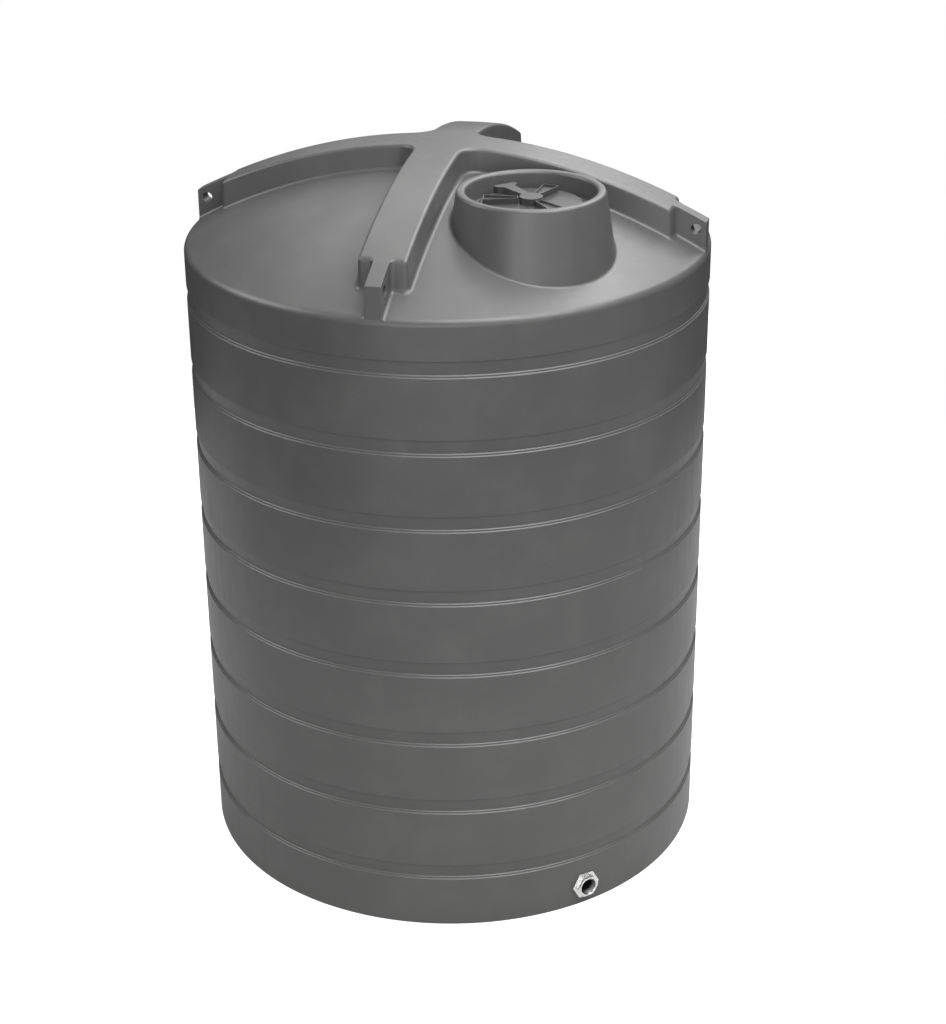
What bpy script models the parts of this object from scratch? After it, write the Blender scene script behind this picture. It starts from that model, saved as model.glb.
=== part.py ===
"""Vertical storage tank: a moulded plastic shell with ring grooves, a domed and ribbed roof with four
lifting lugs, an offset manway with a screw lid, and a stainless outlet low on the front.

Units are metres, +Z is up, and the front (manway and outlet) faces -Y. The origin is the middle of the
flat base, on the ground.
"""
import math

import bmesh
import bpy
from mathutils import Matrix, Vector

# Driving dimensions of the shell.
RADIUS = 1.2
SKIN = 0.010
GAP = 0.0003
FACETS = 60
FACET_TURN = math.radians(3.0)

# Wall: twelve upright segments that turn in under the floor and over the roof's rim.
SEGMENTS = 12
SEGMENT_FACETS = FACETS // SEGMENTS
BASE_ROUND = 0.020
FLOOR_SEAM = 1.160
RIM_SEAM = 1.150
RIM_ROUND = 0.035
RIM_STEPS = 3

# Ring grooves: a sharp step in at the top, a sloped ledge back out at the bottom.
RING_COUNT = 8
FIRST_LEDGE = 0.253
RING_PITCH = 0.352
RECESS_HEIGHT = 0.077
LEDGE_HEIGHT = 0.016
RECESS_DEPTH = 0.007

# Domed roof: height falls with the square of the distance from the middle.
ROOF_TOP = 3.3006
ROOF_FALL = 0.2333
ROOF_RINGS = 6

# Cross of hollow ribs on the roof.
RIB_TOP = 3.4098
RIB_FALL = 0.2167
RIB_HALF_WIDTH = 0.112
CROWN_REACH = 0.240
CROWN_FILLET = 0.080
CROWN_ARC_POINTS = 4
CROWN_BAND_RINGS = 3
ARM_END = 1.052
ARM_STEPS = 6

# Lifting lugs at the ends of the ribs.
LUG_HALF_WIDTH = 0.036
LUG_END = 1.1796
LUG_HOLE_ALONG = 1.146
LUG_HOLE_HEIGHT = 3.075
LUG_HOLE_RADIUS = 0.0234
LUG_TUNNEL_WALL = 0.006
LUG_CUT_DEPTH = 0.1

# Manway neck, on its own upright axis.
MANWAY_Y = -0.714
CREST = 3.351
CREST_RADIUS = 0.300
CREST_ROUND = 0.015
SHOULDER_DROP = 0.0045
SHOULDER_SHIFT = 0.003
NECK_TOP_RADIUS = 0.319
NECK_DRAFT = 0.158
FLANK_HEIGHT = 0.42
WELL_TOP_RADIUS = 0.281
WELL_RADIUS = 0.276
SEAT_DEPTH = 0.095
BORE_RADIUS = 0.200
BORE_LIP_DEPTH = 0.135
NECK_FACETS = 40

# Screw lid, measured down from the crest.
LID_TOP_DEPTH = 0.060
LID_RADIUS = 0.2275
LID_EDGE = 0.009
LID_SKIN = 0.010
THREAD_RADIUS = 0.195
THREAD_DEPTH = 0.125
HUB_RADIUS = 0.050
HUB_TOP_DEPTH = 0.031
HUB_EDGE = 0.003
WEDGE_TOP_DEPTH = 0.035
GRIP_INNER = 0.040
MAIN_GRIP_TURN = 90.0
SIDE_GRIP_TURN = 57.5

# Plan sizes of the lid's grips, as (distance from the lid's middle, half-width).
WEDGE_SIDE = ((GRIP_INNER, 0.014), (0.205, 0.036))
MAIN_GRIP_SIDE = ((GRIP_INNER, 0.017), (0.178, 0.027), (0.190, 0.046), (0.222, 0.056))

# Stainless outlet low on the front, and the part of the wall that it goes through.
OUTLET_PANEL_TOP = 0.245
OUTLET_HEIGHT = 0.113
OUTLET_BORE = 0.0395
OUTLET_TUBE = 0.045
WALL_FACE = RADIUS * math.cos(math.pi / FACETS)
SEAL_THICKNESS = 0.003
SEAL_RADIUS = 0.058
FLANGE_FLATS = 0.125
FLANGE_THICKNESS = 0.010
HEAD_FLATS = 0.096
HEAD_THICKNESS = 0.022
BACK_NUT_FLATS = 0.105
BACK_NUT_THICKNESS = 0.018
TUBE_INNER_END = 1.155
ROUND_FACETS = 24

# Cutters reach past everything that they cut.
CUTTER_LOW = 2.5
CUTTER_HIGH = 3.6
CUTTER_REACH = 2.0
OUTLET_CUTTER_START = 1.0
OUTLET_CUTTER_END = 1.4

ARM_NAMES = ("front_right", "back_right", "back_left", "front_left")
ARM_TURNS = (-45.0, 45.0, 135.0, 225.0)
PANEL_NAMES = ("right", "back", "left", "front")
PANEL_TURNS = (0.0, 90.0, 180.0, 270.0)


def roof_height(radius):
    """Height of the roof's outer face at a distance from the middle."""
    return ROOF_TOP - ROOF_FALL * radius ** 2


def roof_underside(radius):
    """Height of the roof's inner face, one skin in from the sloping outer face."""
    return roof_height(radius) - SKIN * math.hypot(1.0, 2.0 * ROOF_FALL * radius)


def rib_height(radius):
    """Height of the ribs' top face at a distance from the middle."""
    return RIB_TOP - RIB_FALL * radius ** 2


def clear_scene():
    """Remove every object that the file opened with."""
    for item in list(bpy.data.objects):
        bpy.data.objects.remove(item, do_unlink=True)


def new_collection(name):
    """Make a collection under the scene."""
    collection = bpy.data.collections.new(name)
    bpy.context.scene.collection.children.link(collection)
    return collection


def new_material(name, colour, roughness, metallic=0.0):
    """Principled material with a plain colour."""
    material = bpy.data.materials.new(name)
    material.use_nodes = True
    shader = material.node_tree.nodes["Principled BSDF"]
    shader.inputs["Base Color"].default_value = (*colour, 1.0)
    shader.inputs["Roughness"].default_value = roughness
    shader.inputs["Metallic"].default_value = metallic
    return material


def add_object(name, mesh, collection, material=None):
    """Put a mesh in a collection as a named object."""
    item = bpy.data.objects.new(name, mesh)
    collection.objects.link(item)
    if material:
        item.data.materials.append(material)
    return item


def add_cutter(name, mesh, collection):
    """Put a mesh in the cutters' collection, as a wire that isn't rendered."""
    item = add_object(name, mesh, collection)
    item.hide_render = True
    item.display_type = "WIRE"
    return item


def cut(item, cutter, operation="DIFFERENCE"):
    """Add an exact Boolean modifier."""
    modifier = item.modifiers.new(cutter.name, "BOOLEAN")
    modifier.operation = operation
    modifier.solver = "EXACT"
    modifier.object = cutter


def offset_chain(points, distance):
    """Parallel copy of an open outline that runs down its outer side, moved into the material."""
    normals = []
    for (x0, z0), (x1, z1) in zip(points, points[1:]):
        length = math.hypot(x1 - x0, z1 - z0)
        normals.append(Vector(((z1 - z0) / length, (x0 - x1) / length)))
    moved = []
    for index, (x, z) in enumerate(points):
        before = normals[max(index - 1, 0)]
        after = normals[min(index, len(normals) - 1)]
        step = (before + after) * (distance / (1.0 + before.dot(after)))
        moved.append((x + step.x, z + step.y))
    return moved


def outline_mesh(name, points, closed):
    """Mesh of edges through points (x, z) of a turned profile."""
    mesh = bpy.data.meshes.new(name)
    count = len(points)
    edges = [(i, i + 1) for i in range(count - 1)]
    if closed:
        edges.append((count - 1, 0))
    mesh.from_pydata([(x, 0.0, z) for x, z in points], edges, [])
    return mesh


def turn_profile(item, steps):
    """Turn an object's profile all the way round its Z axis."""
    screw = item.modifiers.new("Turn", "SCREW")
    screw.axis = "Z"
    screw.angle = math.tau
    screw.steps = steps
    screw.render_steps = steps
    screw.use_merge_vertices = True
    screw.merge_threshold = 0.00001
    screw.use_smooth_shade = False


def prism_mesh(name, outline, low, high):
    """Upright solid on a flat outline of (x, y) points, between two heights."""
    form = bmesh.new()
    base = form.faces.new([form.verts.new((x, y, low)) for x, y in outline])
    sides = bmesh.ops.extrude_face_region(form, geom=[base])
    raised = [v for v in sides["geom"] if isinstance(v, bmesh.types.BMVert)]
    bmesh.ops.translate(form, verts=raised, vec=(0.0, 0.0, high - low))
    bmesh.ops.recalc_face_normals(form, faces=form.faces)
    mesh = bpy.data.meshes.new(name)
    form.to_mesh(mesh)
    form.free()
    return mesh


def side_prism_mesh(name, outline, half_width):
    """Solid on a side view of (along, height) points, as wide as twice half_width across Y."""
    mesh = prism_mesh(name, outline, -half_width, half_width)
    mesh.transform(Matrix(((1, 0, 0, 0), (0, 0, -1, 0), (0, 1, 0, 0), (0, 0, 0, 1))))
    return mesh


def block_mesh(name, low, high):
    """Box between two corners."""
    form = bmesh.new()
    bmesh.ops.create_cube(form, size=1.0)
    size = Vector(high) - Vector(low)
    centre = (Vector(high) + Vector(low)) / 2.0
    bmesh.ops.scale(form, verts=form.verts, vec=size)
    bmesh.ops.translate(form, verts=form.verts, vec=centre)
    mesh = bpy.data.meshes.new(name)
    form.to_mesh(mesh)
    form.free()
    return mesh


def rod_mesh(name, radius, start, end, facets):
    """Cylinder or prism between two points, with its first corner square to the axis."""
    start = Vector(start)
    end = Vector(end)
    form = bmesh.new()
    bmesh.ops.create_cone(form, cap_ends=True, segments=facets, radius1=radius, radius2=radius,
                          depth=(end - start).length)
    turn = Vector((0.0, 0.0, 1.0)).rotation_difference(end - start).to_matrix().to_4x4()
    bmesh.ops.transform(form, verts=form.verts, matrix=Matrix.Translation((start + end) / 2.0) @ turn)
    mesh = bpy.data.meshes.new(name)
    form.to_mesh(mesh)
    form.free()
    return mesh


def arc_points(centre, radius, start_deg, end_deg, count):
    """Points along an arc, ends included."""
    points = []
    for index in range(count):
        angle = math.radians(start_deg + (end_deg - start_deg) * index / (count - 1))
        points.append((centre[0] + radius * math.cos(angle), centre[1] + radius * math.sin(angle)))
    return points


def rim_points():
    """Outer side of the roof's edge: from the seam with the dome over the round rim to the upright wall."""
    first = Vector((RADIUS - RIM_ROUND, roof_height(RADIUS - RIM_ROUND)))
    corner = Vector((RADIUS, roof_height(RADIUS)))
    last = Vector((RADIUS, corner.y - RIM_ROUND))
    points = [(RIM_SEAM, roof_height(RIM_SEAM))]
    for index in range(RIM_STEPS + 1):
        t = index / RIM_STEPS
        point = first * (1 - t) ** 2 + corner * 2 * t * (1 - t) + last * t ** 2
        points.append((point.x, point.y))
    return points


def wall_outline():
    """Outer side of the wall from the seam with the dome to the seam with the floor."""
    points = rim_points()
    for ring in reversed(range(RING_COUNT)):
        ledge = FIRST_LEDGE + ring * RING_PITCH
        points.append((RADIUS, ledge + RECESS_HEIGHT))
        points.append((RADIUS - RECESS_DEPTH, ledge + RECESS_HEIGHT))
        points.append((RADIUS - RECESS_DEPTH, ledge + LEDGE_HEIGHT))
        points.append((RADIUS, ledge))
    round_step = BASE_ROUND * (1.0 - math.sqrt(0.5))
    points.append((RADIUS, BASE_ROUND))
    points.append((RADIUS - round_step, round_step))
    points.append((RADIUS - BASE_ROUND, 0.0))
    points.append((FLOOR_SEAM, 0.0))
    return points


def wall_segment_mesh():
    """One upright strip of the wall, swept about the tank's axis from angle zero."""
    outer = wall_outline()
    inner = offset_chain(outer, SKIN)
    inner[0] = (RIM_SEAM, roof_underside(RIM_SEAM))
    section = outer + inner[::-1]
    form = bmesh.new()
    face = form.faces.new([form.verts.new((x, 0.0, z)) for x, z in section])
    sweep = math.tau / SEGMENTS - GAP / RADIUS
    bmesh.ops.spin(form, geom=[face], axis=(0.0, 0.0, 1.0), cent=(0.0, 0.0, 0.0), angle=sweep,
                   steps=SEGMENT_FACETS)
    bmesh.ops.recalc_face_normals(form, faces=form.faces)
    mesh = bpy.data.meshes.new("wall_segment")
    form.to_mesh(mesh)
    form.free()
    return mesh


def build_wall(parts, cutters, plastic):
    """Twelve strips round the tank; the foot of the front one is two panels, drilled for the outlet."""
    mesh = wall_segment_mesh()
    mesh.materials.append(plastic)
    front = -math.pi / 2.0 - math.pi / SEGMENTS
    for index in range(SEGMENTS):
        segment = add_object(f"wall_segment_{index + 1:02d}", mesh, parts)
        segment.rotation_euler.z = front + index * math.tau / SEGMENTS
        if index == 0:
            cut(segment, add_cutter("front_foot", block_mesh(
                "front_foot", (-RADIUS, -CUTTER_REACH, -RADIUS), (RADIUS, 0.0, OUTLET_PANEL_TOP)), cutters))

    hole = add_cutter("outlet_hole", rod_mesh(
        "outlet_hole", OUTLET_TUBE + GAP, (0.0, -OUTLET_CUTTER_END, OUTLET_HEIGHT),
        (0.0, -OUTLET_CUTTER_START, OUTLET_HEIGHT), ROUND_FACETS), cutters)
    for name, low, high in (("left", -RADIUS, -GAP / 2.0), ("right", GAP / 2.0, RADIUS)):
        half = add_cutter(f"outlet_half_{name}", block_mesh(
            "outlet_half", (low, -CUTTER_REACH, -RADIUS), (high, 0.0, OUTLET_PANEL_TOP - GAP)), cutters)
        panel = add_object(f"outlet_panel_{name}", mesh, parts)
        panel.rotation_euler.z = front
        cut(panel, half, "INTERSECT")
        cut(panel, hole)


def build_floor(parts, plastic):
    """Flat floor, carried inside the wall's turned-in foot."""
    edge = FLOOR_SEAM - GAP
    profile = [(0.0, SKIN), (edge, SKIN), (edge, 0.0), (0.0, 0.0)]
    floor = add_object("tank_floor", outline_mesh("tank_floor", profile, False), parts, plastic)
    floor.rotation_euler.z = FACET_TURN
    turn_profile(floor, FACETS)


def roof_stops(reach):
    """Evenly spaced distances from the middle at which the faceted dome has its rings."""
    return [reach * i / ROOF_RINGS for i in range(ROOF_RINGS + 1)]


def roof_profile():
    """Section of the dome from its middle to the seam with the wall and back inside."""
    stops = roof_stops(RIM_SEAM - GAP)
    return [(r, roof_height(r)) for r in stops] + [(r, roof_underside(r)) for r in stops[::-1]]


def over_roof_cutter(cutters):
    """Everything below the dome and the round rim, a gap larger, which seats the lugs on them."""
    outer = [(r, roof_height(r)) for r in roof_stops(RIM_SEAM - GAP)][1:] + rim_points()[1:]
    grown = offset_chain(outer, -GAP)
    profile = [(0.0, ROOF_TOP + GAP)] + grown + [(RADIUS + GAP, CUTTER_LOW), (0.0, CUTTER_LOW)]
    cutter = add_cutter("over_roof", outline_mesh("over_roof", profile, False), cutters)
    cutter.rotation_euler.z = FACET_TURN
    turn_profile(cutter, FACETS)
    return cutter


def under_roof_cutter(cutters):
    """Everything inside the tank, up to the underside of the roof."""
    outer = [(r, roof_underside(r)) for r in roof_stops(RADIUS)]
    outer += [(RADIUS, CUTTER_LOW), (0.0, CUTTER_LOW)]
    cutter = add_cutter("under_roof", outline_mesh("under_roof", outer, False), cutters)
    cutter.rotation_euler.z = FACET_TURN
    turn_profile(cutter, FACETS)
    return cutter


def cross_outline(reach, grow):
    """Plan of a cross of four arms with filleted inner corners, its sides moved out by grow."""
    width = RIB_HALF_WIDTH + grow
    corner = RIB_HALF_WIDTH + CROWN_FILLET
    arm = [(reach, -width), (reach, width)]
    arm += arc_points((corner, corner), CROWN_FILLET - grow, 270.0, 180.0, CROWN_ARC_POINTS)
    outline = []
    for quarter in range(4):
        turn = Matrix.Rotation(quarter * math.pi / 2.0, 2)
        outline += [tuple(turn @ Vector(point)) for point in arm]
    return outline


def neck_profile():
    """Closed section of the manway neck, from the well's foot over the crest and down the flank, then back."""
    seat = CREST - SEAT_DEPTH
    outer = [
        (WELL_RADIUS, seat - SKIN),
        (WELL_RADIUS, seat),
        (WELL_TOP_RADIUS, CREST - CREST_ROUND),
        ((WELL_TOP_RADIUS + CREST_RADIUS) / 2 - SHOULDER_SHIFT, CREST - SHOULDER_DROP),
        (CREST_RADIUS, CREST),
        ((NECK_TOP_RADIUS + CREST_RADIUS) / 2 + SHOULDER_SHIFT, CREST - SHOULDER_DROP),
        (NECK_TOP_RADIUS, CREST - CREST_ROUND),
        (NECK_TOP_RADIUS + NECK_DRAFT * FLANK_HEIGHT, CREST - CREST_ROUND - FLANK_HEIGHT),
    ]
    return outer + offset_chain(outer, SKIN)[::-1]


def seat_profile():
    """Closed section of the ring in the well that carries the lid, with the bore's lip hanging from it."""
    seat = CREST - SEAT_DEPTH
    outer = [(BORE_RADIUS, CREST - BORE_LIP_DEPTH), (BORE_RADIUS, seat), (WELL_RADIUS - GAP, seat)]
    return outer + offset_chain(outer, SKIN)[::-1]


def neck_flank_cutter(cutters):
    """Solid that clears the roof for the neck, a gap larger than the neck's flank."""
    top = NECK_TOP_RADIUS + GAP
    profile = [
        (0.0, CREST),
        (top, CREST),
        (top, CREST - CREST_ROUND),
        (top + NECK_DRAFT * FLANK_HEIGHT, CREST - CREST_ROUND - FLANK_HEIGHT),
        (0.0, CREST - CREST_ROUND - FLANK_HEIGHT),
    ]
    cutter = add_cutter("neck_flank", outline_mesh("neck_flank", profile, False), cutters)
    cutter.location = (0.0, MANWAY_Y, 0.0)
    turn_profile(cutter, NECK_FACETS)
    return cutter


def build_roof(parts, cutters, plastic):
    """Four dome panels between the ribs, the front one open for the manway."""
    footprint = add_cutter("rib_footprint", prism_mesh(
        "rib_footprint", cross_outline(ARM_END + GAP, GAP), CUTTER_LOW, CUTTER_HIGH), cutters)
    footprint.rotation_euler.z = math.radians(45.0)
    flank = neck_flank_cutter(cutters)
    tip = GAP * math.sqrt(0.5)
    wedge = [(tip, 0.0), (CUTTER_REACH, tip - CUTTER_REACH), (CUTTER_REACH, CUTTER_REACH - tip)]
    quarter = prism_mesh("roof_quarter", wedge, CUTTER_LOW, CUTTER_HIGH)
    mesh = outline_mesh("roof_panel", roof_profile(), False)
    mesh.materials.append(plastic)
    for name, turn in zip(PANEL_NAMES, PANEL_TURNS):
        corner = add_cutter(f"roof_quarter_{name}", quarter, cutters)
        corner.rotation_euler.z = math.radians(turn)
        panel = add_object(f"roof_panel_{name}", mesh, parts)
        panel.rotation_euler.z = FACET_TURN
        turn_profile(panel, FACETS)
        cut(panel, corner, "INTERSECT")
        cut(panel, footprint)
        if name == "front":
            cut(panel, flank)


def arm_side(start, end, top_inset, floor_drop):
    """Side view of a rib between two distances along it: curved top, and a foot under the roof."""
    stops = [start + (end - start) * i / ARM_STEPS for i in range(ARM_STEPS + 1)]
    top = [(along, rib_height(along) - top_inset) for along in stops]
    foot = [(along, roof_height(along) - SKIN - floor_drop) for along in stops]
    return foot + top[::-1]


def build_arm(place, turn, parts, cutters, plastic):
    """Rib as an upturned channel, open underneath and to the crown, and closed at its outer end."""
    name = f"rib_arm_{place}"
    arm = add_object(name, side_prism_mesh(
        name, arm_side(CROWN_REACH + GAP, ARM_END, 0.0, 0.0), RIB_HALF_WIDTH), parts, plastic)
    hollow = add_cutter(f"{name}_hollow", side_prism_mesh(
        "arm_hollow", arm_side(CROWN_REACH - SKIN, ARM_END - SKIN, SKIN, SKIN), RIB_HALF_WIDTH - SKIN), cutters)
    cut(arm, hollow)
    for item in (arm, hollow):
        item.rotation_euler.z = turn


def build_lug(place, turn, roof_solid, parts, cutters, plastic):
    """Hollow lug with a walled cross hole, standing on the roof's rim at the end of a rib."""
    name = f"lifting_lug_{place}"
    start = ARM_END + GAP
    lug = add_object(name, side_prism_mesh(
        name, arm_side(start, LUG_END, 0.0, LUG_CUT_DEPTH), LUG_HALF_WIDTH), parts, plastic)
    pocket = add_cutter(f"{name}_pocket", side_prism_mesh(
        "lug_pocket", arm_side(start + SKIN, LUG_END - SKIN, SKIN, LUG_CUT_DEPTH + SKIN),
        LUG_HALF_WIDTH - SKIN), cutters)
    middle = Vector((LUG_HOLE_ALONG, 0.0, LUG_HOLE_HEIGHT))
    side = Vector((0.0, 3.0 * LUG_HALF_WIDTH, 0.0))
    facets = ROUND_FACETS // 2
    tunnel = add_cutter(f"{name}_tunnel", rod_mesh(
        "lug_tunnel", LUG_HOLE_RADIUS + LUG_TUNNEL_WALL, middle - side, middle + side, facets), cutters)
    hole = add_cutter(f"{name}_hole", rod_mesh(
        "lug_hole", LUG_HOLE_RADIUS, middle - side, middle + side, facets), cutters)
    cut(pocket, tunnel)
    cut(lug, pocket)
    cut(lug, hole)
    cut(lug, roof_solid)
    for item in (lug, pocket, tunnel, hole):
        item.rotation_euler.z = turn


def build_ribs(parts, cutters, plastic):
    """Crown in the middle of the roof, then an arm and a drilled lug on each diagonal."""
    roof_solid = over_roof_cutter(cutters)
    for place, degrees in zip(ARM_NAMES, ARM_TURNS):
        build_arm(place, math.radians(degrees), parts, cutters, plastic)
        build_lug(place, math.radians(degrees), roof_solid, parts, cutters, plastic)
    build_crown(parts, cutters, plastic)


def dome_band(name, top_inset, floor_drop, reach, cutters):
    """Solid between the roof's underside and the ribs' top, used to shape the crown."""
    stops = [reach * i / CROWN_BAND_RINGS for i in range(CROWN_BAND_RINGS + 1)]
    top = [(r, rib_height(r) - top_inset) for r in stops]
    foot = [(r, roof_height(r) - SKIN - floor_drop) for r in stops]
    band = add_cutter(name, outline_mesh(name, top + foot[::-1], False), cutters)
    turn_profile(band, ROUND_FACETS)
    return band


def build_crown(parts, cutters, plastic):
    """Hollow crown where the four ribs meet."""
    crown = add_object("rib_crown", prism_mesh(
        "rib_crown", cross_outline(CROWN_REACH, 0.0), CUTTER_LOW, CUTTER_HIGH), parts, plastic)
    crown.rotation_euler.z = math.radians(45.0)
    hollow = add_cutter("crown_hollow", prism_mesh(
        "crown_hollow", cross_outline(CROWN_REACH + SKIN, -SKIN), CUTTER_LOW, CUTTER_HIGH), cutters)
    hollow.rotation_euler.z = math.radians(45.0)
    reach = 2.0 * CROWN_REACH
    cut(crown, dome_band("crown_band", 0.0, 0.0, reach, cutters), "INTERSECT")
    cut(hollow, dome_band("crown_hollow_band", SKIN, SKIN, reach, cutters), "INTERSECT")
    cut(crown, hollow)


def build_neck(parts, cutters, plastic):
    """Raised neck round the manway, folded in to a well, and the ring in the well that carries the lid."""
    for name, profile in (("manway_neck", neck_profile()[::-1]), ("manway_seat", seat_profile())):
        ring = add_object(name, outline_mesh(name, profile, True), parts, plastic)
        ring.location = (0.0, MANWAY_Y, 0.0)
        turn_profile(ring, NECK_FACETS)
        if name == "manway_neck":
            cut(ring, under_roof_cutter(cutters))


def lid_profile():
    """Section of the lid from its middle: plate, rim that sits on the seat, and threaded skirt."""
    top = CREST - LID_TOP_DEPTH
    seat = CREST - SEAT_DEPTH + GAP
    under = top - LID_SKIN
    return [
        (0.0, top),
        (LID_RADIUS - LID_EDGE, top),
        (LID_RADIUS, top - LID_EDGE),
        (LID_RADIUS, seat),
        (LID_RADIUS - LID_SKIN, seat),
        (LID_RADIUS - LID_SKIN, under),
        (THREAD_RADIUS, under),
        (THREAD_RADIUS, CREST - THREAD_DEPTH),
        (THREAD_RADIUS - LID_SKIN, CREST - THREAD_DEPTH),
        (THREAD_RADIUS - LID_SKIN, under),
        (0.0, under),
    ]


def grip_outline(side):
    """Whole plan of a hand grip from the points along one side of it."""
    return [(x, -y) for x, y in side] + [(x, y) for x, y in side[::-1]]


def build_lid(parts, cutters, plastic):
    """Screw lid: plate with hub and four hand grips."""
    place = (0.0, MANWAY_Y, 0.0)
    plate = add_object("lid_plate", outline_mesh("lid_plate", lid_profile(), False), parts, plastic)
    plate.location = place
    turn_profile(plate, NECK_FACETS)

    base = CREST - LID_TOP_DEPTH + GAP
    top = CREST - HUB_TOP_DEPTH
    hub_profile = [(0.0, top), (HUB_RADIUS - HUB_EDGE, top), (HUB_RADIUS, top - HUB_EDGE),
                   (HUB_RADIUS, base), (0.0, base)]
    hub = add_object("lid_hub", outline_mesh("lid_hub", hub_profile, False), parts, plastic)
    hub.location = place
    turn_profile(hub, ROUND_FACETS)

    clearance = add_cutter("hub_clearance", rod_mesh(
        "hub_clearance", HUB_RADIUS + GAP, (0.0, 0.0, base - HUB_RADIUS), (0.0, 0.0, top + HUB_RADIUS),
        ROUND_FACETS), cutters)
    clearance.location = place

    wedge_top = CREST - WEDGE_TOP_DEPTH
    grips = (
        ("lid_grip_main", MAIN_GRIP_TURN, MAIN_GRIP_SIDE, top),
        ("lid_grip_right", MAIN_GRIP_TURN - SIDE_GRIP_TURN, WEDGE_SIDE, wedge_top),
        ("lid_grip_left", MAIN_GRIP_TURN + SIDE_GRIP_TURN, WEDGE_SIDE, wedge_top),
        ("lid_grip_front", MAIN_GRIP_TURN + 180.0, WEDGE_SIDE, wedge_top),
    )
    for name, turn, side, height in grips:
        grip = add_object(name, prism_mesh(name, grip_outline(side), base, height), parts, plastic)
        grip.location = place
        grip.rotation_euler.z = math.radians(turn)
        cut(grip, clearance)


def hex_mesh(name, flats, start, end):
    """Hexagonal prism along Y with flats above and below."""
    corner_radius = flats / math.sqrt(3.0)
    outline = arc_points((0.0, 0.0), corner_radius, 0.0, 300.0, 6)
    mesh = prism_mesh(name, outline, start, end)
    mesh.transform(Matrix(((1, 0, 0, 0), (0, 0, -1, 0), (0, 1, 0, OUTLET_HEIGHT), (0, 0, 0, 1))))
    return mesh


def build_outlet(parts, cutters, steel, rubber):
    """Threaded outlet: seal and hexagonal flange outside, headed tube through the wall, nut inside."""
    seal_start = WALL_FACE + GAP
    flange_start = seal_start + SEAL_THICKNESS + GAP
    head_start = flange_start + FLANGE_THICKNESS + GAP
    head_end = head_start + HEAD_THICKNESS
    nut_end = WALL_FACE - SKIN - GAP

    def axis_point(distance):
        return (0.0, -distance, OUTLET_HEIGHT)

    cutter_start = axis_point(OUTLET_CUTTER_START)
    cutter_end = axis_point(OUTLET_CUTTER_END)
    tube_clearance = add_cutter("tube_clearance", rod_mesh(
        "tube_clearance", OUTLET_TUBE + GAP, cutter_start, cutter_end, ROUND_FACETS), cutters)
    bore = add_cutter("outlet_bore", rod_mesh(
        "outlet_bore", OUTLET_BORE, cutter_start, cutter_end, ROUND_FACETS), cutters)

    seal = add_object("outlet_seal", rod_mesh(
        "outlet_seal", SEAL_RADIUS, axis_point(seal_start), axis_point(seal_start + SEAL_THICKNESS),
        ROUND_FACETS), parts, rubber)
    cut(seal, tube_clearance)
    flange = add_object("outlet_flange", hex_mesh(
        "outlet_flange", FLANGE_FLATS, flange_start, flange_start + FLANGE_THICKNESS), parts, steel)
    cut(flange, tube_clearance)
    back_nut = add_object("outlet_back_nut", hex_mesh(
        "outlet_back_nut", BACK_NUT_FLATS, nut_end - BACK_NUT_THICKNESS, nut_end), parts, steel)
    cut(back_nut, tube_clearance)

    socket = add_object("outlet_socket", hex_mesh(
        "outlet_socket", HEAD_FLATS, head_start, head_end), parts, steel)
    tube = add_cutter("outlet_tube", rod_mesh(
        "outlet_tube", OUTLET_TUBE, axis_point(TUBE_INNER_END), axis_point(head_start + HEAD_THICKNESS / 2),
        ROUND_FACETS), cutters)
    cut(socket, tube, "UNION")
    cut(socket, bore)


def main():
    clear_scene()
    parts = new_collection("vertical_storage_tank")
    cutters = new_collection("cutters")
    plastic = new_material("grey_plastic", (0.16, 0.16, 0.16), 0.45)
    lid_plastic = new_material("grey_lid_plastic", (0.15, 0.15, 0.15), 0.45)
    steel = new_material("stainless_steel", (0.75, 0.75, 0.74), 0.22, 1.0)
    rubber = new_material("seal_rubber", (0.02, 0.02, 0.02), 0.7)
    build_wall(parts, cutters, plastic)
    build_floor(parts, plastic)
    build_roof(parts, cutters, plastic)
    build_ribs(parts, cutters, plastic)
    build_neck(parts, cutters, plastic)
    build_lid(parts, cutters, lid_plastic)
    build_outlet(parts, cutters, steel, rubber)


main()
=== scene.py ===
"""Looks of the vertical storage tank: a moulded plastic shell, its screw lid and its steel outlet.

Units are metres, +Z is up, and the manway and the outlet face -Y. Each sub-assembly is a class that
models its pieces with edit-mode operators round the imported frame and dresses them.
"""
import logging
import math
from contextlib import contextmanager
from dataclasses import dataclass
from enum import Enum
from typing import Callable, Iterator, Sequence

import bmesh
import bpy
from bpy.types import Material, Node, NodeSocket, NodeTree, Object
from mathutils import Matrix, Vector


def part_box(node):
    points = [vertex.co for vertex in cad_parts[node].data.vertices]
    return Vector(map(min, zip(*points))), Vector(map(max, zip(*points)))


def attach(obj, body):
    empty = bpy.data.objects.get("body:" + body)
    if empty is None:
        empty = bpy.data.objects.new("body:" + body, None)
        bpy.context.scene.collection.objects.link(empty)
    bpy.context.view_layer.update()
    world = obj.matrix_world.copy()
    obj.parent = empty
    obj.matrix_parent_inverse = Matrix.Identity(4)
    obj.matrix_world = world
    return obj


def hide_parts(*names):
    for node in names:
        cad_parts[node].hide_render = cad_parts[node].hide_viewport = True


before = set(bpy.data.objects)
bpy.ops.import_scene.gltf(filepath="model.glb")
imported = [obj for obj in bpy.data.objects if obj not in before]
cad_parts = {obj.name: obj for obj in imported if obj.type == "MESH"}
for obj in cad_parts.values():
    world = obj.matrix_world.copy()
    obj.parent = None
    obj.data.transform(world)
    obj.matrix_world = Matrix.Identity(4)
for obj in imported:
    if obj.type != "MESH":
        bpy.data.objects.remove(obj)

LOG = logging.getLogger("storage_tank")
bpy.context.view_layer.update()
MERGE_DISTANCE = 0.00003
SKIRT_SINK = 0.0005
QUARTER = math.pi / 2.0
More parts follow.
